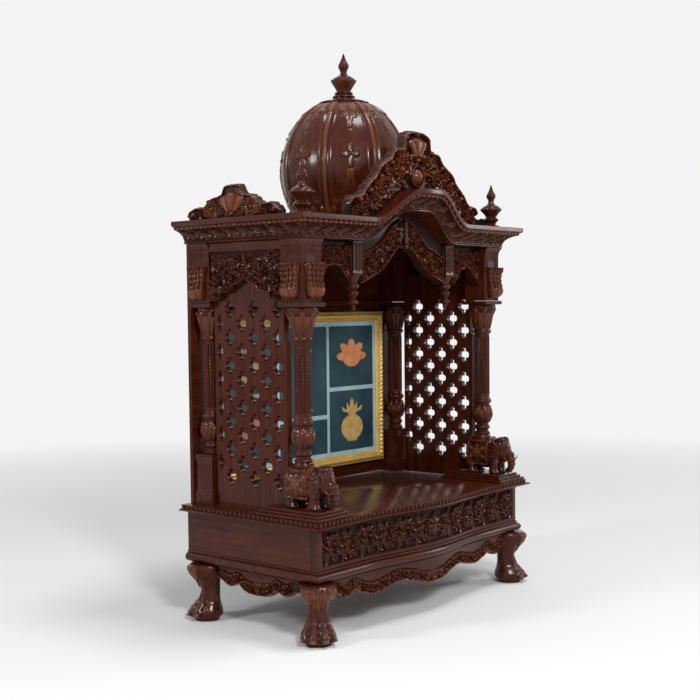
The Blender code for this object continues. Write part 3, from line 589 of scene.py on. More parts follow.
def build_aprons():
    """Scalloped skirts: a rolled rim along the lower edge under whorls, leaves and beads."""
    front = edge_line([(0.0, 1.0), (0.12, 0.94), (0.22, 0.78), (0.36, 0.665), (0.49, 0.81),
                       (0.61, 0.91), (0.73, 0.74), (0.80, 0.59), (0.89, 0.80), (0.95, 0.61),
                       (1.0, 0.44)], APRON_HALF, LEG_Z, -APRON_DROP)
    side = edge_line([(0.0, 0.87), (0.27, 0.81), (0.48, 0.57), (0.69, 0.70), (0.865, 0.53),
                      (1.0, 0.44)], SIDE_APRON_HALF, LEG_Z, -APRON_DROP)
    thick, rows = 0.014, 32

    def skirt(edge, whorls, fronds):
        def relief(a, b):
            right, above = np.abs(a), b - edge(a)
            rise = rimmed(foliage(right, b, fronds, whorls, 6), right, above,
                          (0.7, 0.0026, 0.0024), (0.95, 0.0225, 0.0105, 0.0036))
            carved = ease(above, 0.028, 0.024) * ease(b, LEG_Z - 0.004, LEG_Z - 0.007)
            return -0.0030 * carved + 0.0085 * rise * carved * ease(above, 0.0, 0.002)
        return relief

    along = np.linspace(-APRON_HALF, APRON_HALF, 380)
    relief = skirt(front, running_leaves(front, 0.016, APRON_HALF, 0.0285),
                   [(0.0, LEG_Z - 0.0177, -90, 0.044), (0.0, LEG_Z - 0.0317, -20, 0.024),
                    (0.228, LEG_Z - 0.0117, -90, 0.030)])
    board("apron_front", along, front(along), LEG_Z, thick, relief,
          on_front(SLAB_FRONT + APRON_INSET, BOW_HALF, BOW_DEPTH), ALONG_X, rows)
    along = np.linspace(-SIDE_APRON_HALF, SIDE_APRON_HALF, 160)
    relief = skirt(side, running_leaves(side, 0.014, SIDE_APRON_HALF, 0.0265),
                   [(0.0, LEG_Z - 0.0137, -90, 0.036)])
    for word, sign in SIDES:
        place = on_side(sign, SLAB_HALF - APRON_INSET, (FRONT_FOOT_Y + BACK_FOOT_Y) / 2)
        board(f"apron_{word}", along, side(along), LEG_Z, thick, relief, place, ALONG_Y, rows)


def running_leaves(edge, start, end, pitch):
    """Leafy whorls spaced evenly along a scalloped edge, turning one way and the other."""
    places = np.arange(start + pitch / 2, end - 0.006, pitch)
    return [(place, float(edge(place)) + 0.0118, 0.0145, 1 if index % 2 else -1)
            for index, place in enumerate(places)]


# Base box and deck

def plan_stack(name, node, levels, foot):
    """Stacked outlines of the base, each some way inside the deck's lip. A level is (inset,
    height over the foot, 1 where its recess is darkened with painted shade)."""
    middle = np.linspace(-1, 1, 201)
    rings, tones = [], []
    for inset, rise, painted_shade in levels:
        half = SLAB_HALF - inset
        front = np.stack((middle * half, SLAB_FRONT + inset - bow(middle * half)), -1)
        depth = np.linspace(SLAB_FRONT + inset, BACK_Y, 90)[1:]
        right = np.stack((np.full_like(depth, half), depth), -1)
        left = np.stack((np.full_like(depth, -half), depth[::-1]), -1)
        plan = np.vstack((front, right, left))
        rings.append(np.hstack((plan, np.full((len(plan), 1), foot + rise))))
        # painted shade: recessed levels take a dark tone
        tones.append(np.full(len(plan), -0.8 if painted_shade else 0.0))
    solid(name, np.array(rings), ALONG_X, (node,), np.array(tones))


def rounded_step(inset, low, high, turn):
    """A quarter-round at the bottom and the top of one step of a moulding."""
    return [(inset + turn, low), (inset + turn * 0.3, low + turn * 0.3), (inset, low + turn),
            (inset, high - turn), (inset + turn * 0.3, high - turn * 0.3), (inset + turn, high)]


def build_base():
    """Bottom moulding and the deck's boards over a hollow darkened with painted shade."""
    lip = MOULDING_INSET
    torus = [(lip + 0.0075 - 0.0075 * sin(t), 0.0105 - 0.0085 * cos(t), 0)
             for t in np.linspace(0.0, pi, 13)]
    levels = [(lip + 0.011, 0.0, 0), (lip + 0.0105, 0.0014, 1)] + torus
    levels += [(lip + 0.0085, 0.0195, 1), (lip + 0.0065, 0.0203, 0), (lip + 0.0062, 0.0225, 0),
               (lip + 0.0078, 0.024, 0)]
    plan_stack("base_torus", "base_moulding", levels, LEG_Z + FIT)

    levels = [(0.003, 0.0, 0), (0.001, 0.0005, 0), (0.0, 0.0014, 0), (0.0, 0.0032, 0),
              (0.0016, 0.0043, 0), (0.0078, 0.0048, 1), (0.0078, 0.0114, 1), (0.0066, 0.0120, 0),
              (0.0064, 0.0124, 0), (0.0076, BAND_H, 0)]
    plan_stack("deck_boards", "deck", levels, SLAB_Z)


def build_base_front():
    """Serpentine front: a framed panel in which leafy whorls hang from a waving stem."""
    half = SLAB_HALF - BOX_INSET
    low, high = FLOOR_Z + FIT, SLAB_Z - FIT
    line, pitch, swing = FLOOR_Z + 0.042, 0.054, 0.017

    def relief(a, b):
        right = np.abs(a)
        edge = np.minimum(b - low, high - b)
        panel = ease(edge, 0.0085, 0.0105) * ease(half - right, 0.013, 0.015)
        way = np.linspace(0.0, half, 80)
        stem = np.stack((way, line + swing * np.sin(way * pi / pitch)), -1)
        rise = 0.55 * strand(right, b, stem, 0.0032)
        for index in range(6):
            hand = 1 if index % 2 == 0 else -1
            middle = pitch * (index + 0.5)
            for shift, up, turn, size in ((0.022, 0.008, 75, 0.029), (-0.018, 0.008, 118, 0.025),
                                          (0.010, 0.008, 95, 0.020), (0.022, -0.010, -62, 0.027)):
                share = 0.92 if turn > 0 else 1.0
                rise = laid(rise, share * frond(right, b, (middle + shift, line + up * hand),
                                                radians(turn) * hand, size))
            rise = laid(rise, whorl(right, b, (middle + 0.003, line - 0.006 * hand), 0.0235,
                                    pi / 2 * hand, -hand, 7))
            ball = np.hypot(right - pitch * (index + 1), b - line)
            rise = np.maximum(rise, round_over(ball / 0.0042))
        rise = laid(rise, flower(right, b, (0.0, line), 0.023, 8))
        moulding = round_over((edge - 0.0068) / 0.0019)
        return -0.0052 * panel + 0.0100 * rise * panel + 0.0016 * moulding

    along = np.linspace(-half, half, 460)
    board("base_front", along, low, high, CARVED_THICK, relief,
          on_front(SLAB_FRONT + BOX_INSET, BOW_HALF, BOW_DEPTH), ALONG_X, 58, 0.001)


def build_plinths():
    """Three stepped boards with rounded edges under each elephant."""
    levels = []
    for step in range(3):
        low = BAY_Z + FIT + step * PLINTH_RISE
        levels += rounded_step(step * PLINTH_STEP, low, low + PLINTH_RISE, 0.0011)
    for side, sign in SIDES:
        rings = []
        for inset, z in levels:
            front, back = SLAB_FRONT + PLINTH_INSET + inset, PLINTH_BACK - inset
            outer, inner = SLAB_HALF - PLINTH_INSET - inset, PLINTH_INNER + inset
            rings.append([(sign * inner, front, z), (sign * outer, front, z),
                          (sign * outer, back, z), (sign * inner, back, z)])
        solid(f"stepped_plinth_{side}", np.array(rings), ALONG_X, (f"plinth_{side}",))


def build_dentils():
    """Small upright bars with rounded backs, evenly spaced along the deck's edge."""
    inset, low, high, pitch = 0.0076, SLAB_Z + 0.0046, SLAB_Z + 0.0121, 0.0122
    x = np.linspace(-SLAB_HALF + inset, SLAB_HALF - inset, 2001)
    front = np.stack((x, SLAB_FRONT + inset - bow(x)), -1)
    reach = np.concatenate(([0.0], np.cumsum(np.hypot(*np.diff(front, axis=0).T))))
    count = int(reach[-1] / pitch)
    at = (np.arange(count) + 0.5) * reach[-1] / count
    runs = [np.stack((np.interp(at, reach, front[:, 0]), np.interp(at, reach, front[:, 1])), -1)]
    slope = np.gradient(front[:, 1], front[:, 0])
    turns = [np.arctan(np.interp(runs[0][:, 0], x, slope))]
    depth = BACK_Y - SLAB_FRONT - inset
    count = int(depth / pitch)
    y = SLAB_FRONT + inset + (np.arange(count) + 0.5) * depth / count
    for sign in (-1, 1):
        runs.append(np.stack((np.full(count, sign * (SLAB_HALF - inset)), y), -1))
        turns.append(np.full(count, sign * pi / 2))
    place, turn = np.vstack(runs), np.concatenate(turns)
    across = np.array([-0.0023, -0.0021, -0.0012, 0.0012, 0.0021, 0.0023])[None, :]
    proud = np.array([-0.0010, 0.0012, 0.0022, 0.0022, 0.0012, -0.0010])[None, :]
    z = np.array([low, low + 0.0008, high - 0.0008, high])[:, None]
    held = np.array([0.7, 1.0, 1.0, 0.7])[:, None]
    side, out = across * held, np.where(proud > 0, proud * held, proud)
    c, s = np.cos(turn)[:, None, None], np.sin(turn)[:, None, None]
    points = np.stack((place[:, 0, None, None] + side * c + out * s,
                       place[:, 1, None, None] + side * s - out * c, z + 0 * side + 0 * c), -1)
    size = across.size * len(z)
    faces = grid_faces(4, 6).tolist() + [list(range(6))[::-1], list(range(18, 24))]
    every = [[corner + start for corner in face]
             for start in range(0, size * len(points), size) for face in faces]
    # wear and a painted highlight: the dentils take a raised, lighter tone
    finished("deck_dentils", points.reshape(-1, 3), every, ALONG_Z,
             tone=np.full(size * len(points), 0.6))


# Columns, heads and finials

def column_line(foot, neck, widest, top):
    """Column profile: rings, carved vase and neck ring from the foot, then a straight shaft,
    and from the neck a ring, a bell and the abacus."""
    base = profile(
        ([(0.0165, 0.0), (0.0180, 0.0014), (0.0180, 0.0046), (0.0162, 0.0064), (0.0142, 0.0080),
          (0.0138, 0.0105), (0.0150, 0.0122), (0.0172, 0.0150), (0.0172, 0.0186), (0.0158, 0.0212),
          (0.0140, 0.0232), (0.0142, 0.0255)], 0),
        ([(0.016, 0.028), (0.0192, 0.034), (0.0225, 0.044), (0.0218, 0.053), (0.0188, 0.063),
          (0.0168, 0.071)], 6),
        ([(0.0190, 0.0735), (0.0207, 0.0762), (0.0207, 0.080), (0.0190, 0.083),
          (0.0165, 0.087)], 0))
    head = profile(
        ([(0.0165, 0.0), (0.0190, 0.0022), (0.0206, 0.0045), (0.0206, 0.0082),
          (0.0188, 0.0112)], 0),
        ([(0.0183, 0.013), (0.0205, 0.024), (0.0245, 0.044), (widest, 0.061),
          (widest - 0.002, 0.0675)], 6))
    return raise_line(base, foot) + raise_line(head, neck) + [(widest + 0.001, top - 0.0079),
                                                             (widest + 0.001, top)]


def raise_line(line, foot, tall=1.0):
    """A profile's heights, in shares of its whole height, put over its foot."""
    return [(r, foot + tall * z) for r, z in line]


def build_columns():
    """Four columns. Their shafts alternate plain reeds with twisted ones; the vase and the
    capital wear two rows of petals; the back pair stand on square moulded plinths."""
    foot, neck, top = DECK_Z + 0.0883, HEAD_Z - 0.077, HEAD_Z - FIT
    low_shaft, high_shaft = foot + 0.090, neck - 0.002

    def detail(theta, z):
        wave = np.cos(8 * theta)
        reed = np.abs(wave) ** 0.8
        twist = np.where(wave > 0, 0.62 + 0.38 * np.cos(tau * z / 0.0062 + 8 * theta), 1.0)
        shaft = ease(z, low_shaft, low_shaft + 0.006) * ease(z, high_shaft, high_shaft - 0.006)
        raised = 0.0030 * (reed * twist - 0.70) * shaft
        for start, end, size in ((foot + 0.027, foot + 0.060, 0.0042),
                                 (neck + 0.012, neck + 0.052, 0.0046)):
            level = (z - start) / (end - start)
            first = petal_row(theta, level, 8)
            second = petal_row(theta, (z - start - 0.008) / (end - start), 8, 0.5)
            raised = raised + size * (np.maximum(first, second) - 0.3) * ease(level, -0.05, 0.05) \
                * ease(level, 1.32, 1.2)
        for middle in (foot + 0.0785, neck + 0.0064):
            ring = ease(np.abs(z - middle), 0.0035, 0.001)
            raised = raised + 0.0013 * ring * (np.abs(np.cos(12 * theta)) - 0.6)
        return raised

    plinth = [(0.0252, BAY_Z + FIT), (0.0252, BAY_Z + 0.022), (0.0238, BAY_Z + 0.024),
              (0.0238, BAY_Z + 0.028), (0.0226, BAY_Z + 0.030), (0.0226, foot - 0.018),
              (0.0238, foot - 0.016), (0.0238, foot - 0.011), (0.0252, foot - 0.009),
              (0.0252, foot - 0.001)]
    for word, y, widest in (("front", FRONT_COLUMN_Y, 0.032), ("back", BACK_COLUMN_Y, 0.0272)):
        line = column_line(foot, neck, widest, top)
        if word == "back":
            line = plinth + line

        def shape(theta, z):
            return np.where((z > top - 0.0082) | (z < foot - 0.0008), squared(theta), 1.0)

        for side, sign in SIDES:
            turned(f"carved_column_{word}_{side}", (sign * COLUMN_X, y), line, ALONG_Z,
                   (f"column_{word}_{side}",), detail, 72, 0.0021, shape)


def build_heads():
    """Square blocks with reeded outer corners and a cavetto under the cornice, and a carved
    leaf bracket on each outer face."""
    z = np.concatenate((np.linspace(HEAD_Z + FIT, CORNICE_Z - 0.016, 12),
                        np.linspace(CORNICE_Z - 0.0145, CORNICE_Z - FIT, 10)))[:, None]
    flare = 0.006 * (1 - np.cos(pi / 2 * np.clip((z - CORNICE_Z + 0.015) / 0.0147, 0, 1)))
    p = np.linspace(-HEAD_HALF, HEAD_HALF, 73)[None, :]
    edge = HEAD_HALF - np.abs(p)
    reeds = np.where(edge < 0.0138, np.abs(np.sin(pi * edge / 0.0046)) ** 0.7, 0.3)
    reeds = 0.0021 * (reeds - 1.0) * ease(z, CORNICE_Z - 0.0145, CORNICE_Z - 0.018)
    panel = -0.0010 * ease(edge, 0.0140, 0.0150) * ease(z, CORNICE_Z - 0.018, CORNICE_Z - 0.02)
    face = HEAD_HALF + flare + reeds + panel
    flat = HEAD_HALF + 0 * face
    for side, sign in SIDES:
        for end, y in (("front", FRONT_COLUMN_Y), ("back", BACK_COLUMN_Y)):
            front = face if end == "front" else flat
            stretch = 1 + flare / HEAD_HALF
            forward = np.stack((p * np.where(p > 0, stretch, 1.0) + 0 * z, front), -1)
            outer_b = -p * np.where((p < 0) & (end == "front"), stretch, 1.0) + 0 * z
            outer = np.stack((face, outer_b), -1)
            back = np.stack((-p[:, ::14] + 0 * z, -flat[:, ::14]), -1)
            inner = np.stack((-flat[:, ::14], p[:, ::14] + 0 * z), -1)
            plan = np.concatenate((forward[:, :-1], outer[:, :-1], back[:, :-1], inner[:, :-1]), 1)
            points = np.stack((sign * (COLUMN_X + plan[..., 0]), y - plan[..., 1],
                               z + 0 * plan[..., 0]), -1)
            tone = np.zeros(points.shape[:2])
            solid(f"reeded_head_{end}_{side}", points, ALONG_Z, (f"head_{end}_{side}",), tone)
            place = lambda u, out, h: (sign * (COLUMN_X + HEAD_HALF + out), y - u, h)
            bracket(f"bracket_side_{end}_{side}", place)
            if end == "front":
                place = lambda u, out, h: (sign * (COLUMN_X + u), y - HEAD_HALF - out, h)
                bracket(f"bracket_front_{side}", place)


def bracket(name, place):
    """Acanthus bracket. Its depth swells at a rolled foot, draws in, and flares to a ledge; its
    half-round plan is cut into lobes that fan out from the foot, crossed by slanting veins, and
    end at the ledge in separate tips."""
    low, tall = HEAD_Z + 0.006, 0.070
    h = np.linspace(0.0, tall, 46)[:, None]
    t = np.linspace(-1, 1, 47)[None, :]
    line = smooth([(0.0, 0.010), (0.004, 0.0185), (0.011, 0.0250), (0.020, 0.0264),
                   (0.029, 0.0240), (0.038, 0.0214), (0.048, 0.0212), (0.058, 0.0236),
                   (0.0665, 0.0268), (0.0692, 0.0256), (tall, 0.0225)], 8)
    depth = np.interp(h[:, 0], *line.T)[:, None]
    half = np.interp(h, [0.0, 0.006, 0.020, 0.032, 0.052, 0.0692, tall],
                     [0.011, 0.0170, 0.0205, 0.0200, 0.0222, 0.0245, 0.0240])
    body = np.clip(1 - np.abs(t) ** 3.0, 0, 1) ** 0.6
    fan = ease(h, 0.016, 0.028)
    lobes = np.abs(np.cos(3.5 * pi * t)) ** 0.8
    veins = 0.5 + 0.5 * np.cos(tau * h / 0.0105 - 2.6 * np.abs(t))
    roll = round_over((h - 0.0145) / 0.0125) * round_over(t / 0.75)
    cut = fan * (0.34 * (1 - lobes) + 0.12 * veins * (np.abs(t) < 0.94))
    cut = cut + (1 - fan) * 0.16 * (1 - np.abs(np.cos(2.5 * pi * t))) * (1 - roll)
    ledge = round_over((h - 0.0655) / 0.0038) * lobes
    out = depth * body * (1 - cut) + 0.0010 * ledge + 0.0002
    back = np.full((len(h), 2), -0.0006)
    u = np.hstack((half * t, half, -half))
    out = np.hstack((out, back))
    tips = 0.0050 * (1 - lobes) * ease(h, 0.052, 0.069)
    high = low + h - np.hstack((tips, 0 * back))
    tone = np.hstack((1.0 - 4.5 * cut, 0 * back))
    solid(name, np.stack(place(u, out, high), -1), ALONG_Z, (), tone)


def build_finials():
    """Corner finials and the dome's finial: moulded foot, lotus cup with petals, and a bud."""
    def cup(start, end, size):
        def detail(theta, z):
            level = (z - start) / (end - start)
            rise = np.maximum(petal_row(theta, level, 8), petal_row(theta, level - 0.18, 8, 0.5))
            stem = 0.0009 * (np.abs(np.cos(6 * theta)) - 0.5) * (z > end + 0.018)
            return size * (rise - 0.25) * ease(level, -0.02, 0.04) * ease(level, 1.22, 1.1) + stem
        return detail

    foot = ROOF_Z + FIT
    line = profile(
        ([(0.0178, 0.0), (0.019, 0.001), (0.019, 0.0042), (0.0175, 0.0055), (0.0105, 0.008)], 0),
        ([(0.0105, 0.009), (0.0125, 0.0135), (0.0168, 0.0175), (0.0165, 0.0205),
          (0.0125, 0.024)], 5),
        ([(0.0118, 0.026), (0.0140, 0.031), (0.0195, 0.0375), (0.0232, 0.0415),
          (0.0222, 0.0445), (0.0185, 0.049), (0.0105, 0.0535), (0.0068, 0.058)], 6),
        ([(0.0060, 0.062), (0.0072, 0.066), (0.0100, 0.071), (0.0096, 0.0765),
          (0.0060, 0.0830), (0.0034, 0.0895), (0.0012, 0.0965), (0.0004, 0.099)], 6))
    for side, sign in SIDES:
        turned(f"carved_finial_{side}", (sign * FINIAL_X, FINIAL_Y), raise_line(line, foot),
               ALONG_Z, (f"finial_{side}",), cup(foot + 0.026, foot + 0.043, 0.0030), 64, 0.0014)

    low, tall = dome_neck() + FIT, 0.1104
    collar = DOME_NECK_R - 0.0015
    line = profile(
        ([(collar - 0.003, 0.0), (collar, 0.012), (collar, 0.030), (collar - 0.002, 0.040)], 0),
        ([(0.052, 0.045), (0.040, 0.075), (0.027, 0.100), (0.0225, 0.115)], 6),
        ([(0.0225, 0.125), (0.025, 0.145), (0.0235, 0.170), (0.0190, 0.195)], 5),
        ([(0.0185, 0.205), (0.0205, 0.220), (0.0190, 0.240), (0.0155, 0.255),
          (0.0158, 0.290), (0.0180, 0.330), (0.0225, 0.400), (0.0262, 0.465),
          (0.0252, 0.490), (0.0200, 0.530), (0.0110, 0.575), (0.0075, 0.610)], 6),
        ([(0.0068, 0.640), (0.0080, 0.680), (0.0112, 0.735), (0.0108, 0.780),
          (0.0072, 0.845), (0.0040, 0.905), (0.0015, 0.975), (0.0004, 1.0)], 6))
    turned("carved_dome_finial", (0.0, DOME_Y), raise_line(line, low, tall), ALONG_Z,
           ("dome_finial",), cup(low + 0.27 * tall, low + 0.47 * tall, 0.0032), 80, 0.0016)


def dome_neck():
    """Height at which the dome closes in to its collar."""
    return DOME_WAIST_Z + DOME_RISE * (1 - (DOME_NECK_R / DOME_R) ** 2) ** 0.5


def build_dome():
    """Ribbed dome on an ellipse of revolution. Each rib is a raised roll with a fine groove
    and a slim roll on each side; each gore carries a leaf spray at its foot, a four-leaved
    flower and a pendant; rows of petals run round the dome's foot and neck."""
    foot, neck = ROOF_Z + FIT, dome_neck()
    bloom, pendant, around = DOME_WAIST_Z + 0.024, DOME_WAIST_Z + 0.142, 288
    theta = np.arange(around)[None, :] * tau / around
    low = foot + 0.022
    base = dense([(DOME_BASE_R - 0.004, foot), (DOME_BASE_R, foot + 0.002),
                  (DOME_BASE_R, foot + 0.008), (DOME_BASE_R - 0.004, foot + 0.0105),
                  (DOME_BASE_R - 0.007, foot + 0.0135)], 0.002)
    shell_z = low + (neck - low) * np.sin(pi / 2 * np.linspace(0, 1, 122) ** 0.9)
    shell_r = DOME_R * np.sqrt(1 - ((shell_z - DOME_WAIST_Z) / DOME_RISE) ** 2)
    r = np.concatenate((base[:, 0], shell_r))[:, None]
    z = np.concatenate((base[:, 1], shell_z))[:, None]
    gore = (theta + pi / GORES) % (tau / GORES) - pi / GORES
    from_rib = (pi / GORES - np.abs(gore)) * r
    body = ease(z, foot + 0.0135, foot + 0.024)
    rib = 0.0036 * round_over(from_rib / 0.0056) - 0.0018
    rib = rib - 0.0016 * np.exp(-((from_rib - 0.0072) / 0.0012) ** 2)
    rib = rib + 0.0017 * round_over((from_rib - 0.0118) / 0.0026) * ease(r, 0.080, 0.095)
    a, b = gore * r, z + 0 * gore
    carve = frond(a, b, (0.0, foot + 0.020), pi / 2, 0.088, 6, 0.8)
    for side in (-1, 1):
        carve = laid(carve, 0.9 * lobe(a, b, (0.006 * side, foot + 0.024),
                                       pi / 2 - side * 1.15, 0.036, 0.0078, 0.3 * side))
        carve = laid(carve, 0.95 * whorl(a, b, (0.023 * side, foot + 0.040), 0.0135,
                                         pi * (side < 0), -side, 5))
        carve = np.maximum(carve, 0.8 * lobe(a, b, (0.0, pendant - 0.018), -pi / 2 + side * 0.7,
                                             0.026, 0.006))
    for angle, length in ((0.0, 0.0185), (pi, 0.0185), (pi / 2, 0.023), (-pi / 2, 0.029)):
        carve = np.maximum(carve, lobe(a, b, (0.0, bloom), angle, length, 0.0068))
    carve = np.maximum(carve, 0.95 * frond(a, b, (0.0, pendant), -pi / 2, 0.060, 4, 0.8))
    for height, size in ((bloom, 0.0038), (pendant - 0.070, 0.0036)):
        carve = np.maximum(carve, round_over(np.hypot(a, b - height) / size))
    level = (z - foot - 0.0135) / 0.020 + 0 * theta
    petals = petal_row(theta, level, 32) * ease(level, 0.0, 0.1)
    skirt = petal_row(theta, (neck - z) / 0.026 + 0 * theta, 24)
    raised = body * (rib + 0.0036 * carve) + 0.0034 * petals
    raised = raised + 0.0036 * skirt * ease(neck - z, 0.0, 0.002)
    reach = r + raised
    tone = np.clip((raised + 0.0018 * body) / 0.003, -1, 1)
    points = np.stack((reach * np.cos(theta), DOME_Y + reach * np.sin(theta), b), -1)
    solid("carved_dome", points, ALONG_Z, ("dome",), tone)


# Screens, friezes and back

SCREEN_FRONT = FRONT_COLUMN_Y + RING_R + 0.0025
SCREEN_BACK = BACK_COLUMN_Y - RING_R - 0.0025
SCREEN_THICK = 0.014
SCREEN_CHAMFER = 0.0009
SHOULDER_Y = FRONT_COLUMN_Y + HEAD_HALF + FIT
NECK_Y = FRONT_COLUMN_Y + 0.033 + FIT
NOTCH_Z = 0.577


def quatrefoil(count):
    """Outline of four overlapping circles, with its corners at that many even angles."""
    angle = np.arange(count) * tau / count
    reach = lobed_reach(angle)
    return np.stack((reach * np.cos(angle), reach * np.sin(angle)), -1)


def lobed_reach(angle):
    """Reach of four circles of radius c at a distance d from the middle: at an angle p from the
    nearest arm it is d cos p + sqrt(c^2 - d^2 sin^2 p)."""
    off = (angle + pi / 4) % (pi / 2) - pi / 4
    return 0.57 * np.cos(off) + np.sqrt(0.43 ** 2 - (0.57 * np.sin(off)) ** 2)


def screen_outline():
    """Outline of a screen as (depth, height), with steps over the plinth and notches round the
    front column's capital and head, and the corners of those steps."""
    edge, corners = [(SCREEN_FRONT, DECK_Z + FIT)], []
    for step in (2, 1, 0):
        corner = (PLINTH_BACK - step * PLINTH_STEP + FIT, edge[-1][1])
        under = BAY_Z + FIT * (step > 0) + step * PLINTH_RISE + PLINTH_SLOPE * (step > 0)
        edge += [corner, (corner[0], under + FIT)]
        corners.append(corner)
    top = HEAD_Z + 0.066
    edge += [(SCREEN_BACK, BAY_Z + FIT), (SCREEN_BACK, top), (SHOULDER_Y, top),
             (SHOULDER_Y, HEAD_Z), (NECK_Y, HEAD_Z), (NECK_Y, NOTCH_Z), (SCREEN_FRONT, NOTCH_Z)]
    return np.array(edge), corners


def screen_holes():
    """Middle and half sizes of the holes, in staggered rows; every other row ends at the back
    with a narrower one."""
    pitch, row_pitch, first_row = 0.0333, 0.0284, DECK_Z + 0.0457
    wide, narrow = np.array((0.0145, 0.0175)), np.array((0.0088, 0.0175))
    middle = (SCREEN_FRONT + SCREEN_BACK) / 2 - 0.009
    holes = []
    for row in range(13):
        for column in (-2, 0, 2) if row % 2 == 0 else (-1, 1, 3):
            y = SCREEN_BACK - 0.0135 if column == 3 else middle + column * pitch
            holes.append((np.array((y, first_row + row * row_pitch)),
                          narrow if column == 3 else wide))
    return holes


def screen_face(loops, corners, holes):
    """Points and triangles of the board's face between its outline and the rims of its holes,
    and where each of these loops starts among the points. Slivers on the front edge go too."""
    starts = np.cumsum([0] + [len(loop) for loop in loops])
    edges = [(start + k, start + (k + 1) % (end - start))
             for start, end in zip(starts, starts[1:]) for k in range(end - start)]
    made = delaunay_2d_cdt([Vector(point) for point in np.vstack(loops)], edges, [], 0, 1e-7)
    flat, faces = np.array([tuple(point) for point in made[0]]), np.array(made[2])
    middle = flat[faces].mean(1)
    y, z = middle.T
    keep = np.where(z > HEAD_Z, y > SHOULDER_Y, y > np.where(z < NOTCH_Z, SCREEN_FRONT, NECK_Y))
    for corner in corners:
        keep &= (middle > corner).any(1)
    for centre, half in holes:
        off = (middle - centre) / (half + SCREEN_CHAMFER)
        keep &= np.hypot(*off.T) > 0.985 * lobed_reach(np.arctan2(off[:, 1], off[:, 0]))
    return flat, faces[keep], starts


def build_screens():
    """Pierced screens with staggered four-lobed holes, chamfered on both faces."""
    outline, corners = screen_outline()
    holes, lobes = screen_holes(), quatrefoil(32)
    wide = [centre + lobes * (half + SCREEN_CHAMFER) for centre, half in holes]
    fine = [centre + lobes * half for centre, half in holes]
    flat, faces, starts = screen_face([outline] + wide, corners, holes)
    outer, count = BODY_HALF - 0.0135 - FIT, len(flat)
    for side, sign in SIDES:
        points = []
        for depth in (0.0, SCREEN_THICK):
            points += [(sign * (outer - depth), y, z) for y, z in flat]
        face = (faces if sign > 0 else faces[:, ::-1]).tolist()
        quads = face + [[count + corner for corner in three[::-1]] for three in face]
        for start, end, loop in zip(starts, starts[1:], [None] + fine):
            rim = list(range(start, end))
            levels = [rim]
            for depth in () if loop is None else (SCREEN_CHAMFER, SCREEN_THICK - SCREEN_CHAMFER):
                levels.append(list(range(len(points), len(points) + len(rim))))
                points += [(sign * (outer - depth), y, z) for y, z in loop]
            levels.append([count + corner for corner in rim])
            inwards = (sign > 0) == (loop is None)
            for upper, lower in zip(levels, levels[1:]):
                for wall in zip(upper, lower, lower[1:] + lower[:1], upper[1:] + upper[:1]):
                    quads.append(wall if inwards else wall[::-1])
        finished(f"pierced_screen_{side}", np.array(points), quads, ALONG_Z, (f"jali_{side}",),
                 np.zeros(len(points)), 30)


def build_friezes():
    """Arched side boards: a rolled rim on the arch, leafy whorls in the spandrels, a flower
    over the crown and a plain band under the cornice."""
    front, back = FRONT_COLUMN_Y + HEAD_HALF + FIT, BACK_COLUMN_Y - HEAD_HALF - FIT
    middle, half = (front + back) / 2, (back - front) / 2
    arch = edge_line([(0.0, 0.41), (0.12, 0.33), (0.30, 0.28), (0.46, 0.18), (0.66, 0.148),
                      (0.74, 0.05), (1.0, 0.025)], half, HEAD_Z, HEAD_H)

    def relief(a, b):
        right, up, above = np.abs(a), b - HEAD_Z, b - arch(a)
        rise = foliage(
            right, up,
            ((0.0, 0.058, 90, 0.036), (0.032, 0.068, 75, 0.026), (0.052, 0.088, 180, 0.022),
             (0.056, 0.074, 60, 0.028), (0.094, 0.01, 95, 0.030), (0.066, 0.022, 60, 0.020),
             (0.094, 0.062, 120, 0.024), (0.094, 0.09, 150, 0.020), (0.012, 0.052, 30, 0.026)),
            ((0.079, 0.04, 0.019, 1), (0.048, 0.056, 0.018, -1), (0.078, 0.079, 0.017, -1),
             (0.022, 0.084, 0.015, 1)))
        rise = rimmed(rise, right, above, (0.8, 0.003, 0.0028), (0.9, 0.0082, 0.0115, 0.0030))
        rise = laid(rise, flower(right, up, (0.0, 0.0695), 0.0105, 6))
        ground = 1 - ease(up, 0.1015, 0.103)
        line = round_over((up - 0.1005) / 0.0016)
        return (0.0098 * rise * ease(above, 0, 0.002) - 0.0045) * ground + 0.001 * line

    along = np.linspace(-half, half, 150)
    for side, sign in SIDES:
        board(f"frieze_{side}", along, arch(along), CORNICE_Z - FIT, 0.0135, relief,
              on_side(sign, BODY_HALF, middle), ALONG_Y, 74, 0.001)


def build_rail():
    """Moulded rail across the back wall above the picture."""
    foot, half, face = 0.640, 0.283, BACK_Y - WALL + FIT
    section = dense([(0.0, 0.0), (0.004, 0.0005), (0.006, 0.003), (0.0045, 0.006),
                     (0.0045, 0.013), (0.007, 0.016), (0.007, 0.019), (0.003, 0.0205),
                     (0.0, 0.0205)], 0.002)
    along = np.linspace(-half, half, 3)[:, None]
    points = np.stack((along + 0 * section[:, 0], face - section[:, 0] + 0 * along,
                       foot + section[:, 1] + 0 * along), -1)
    solid("back_rail", points, ALONG_X)


# Valance and hanging posts

VALANCE_FACE = VALANCE_Y - CARVED_THICK / 2
VALANCE_TOP = CORNICE_Z - FIT


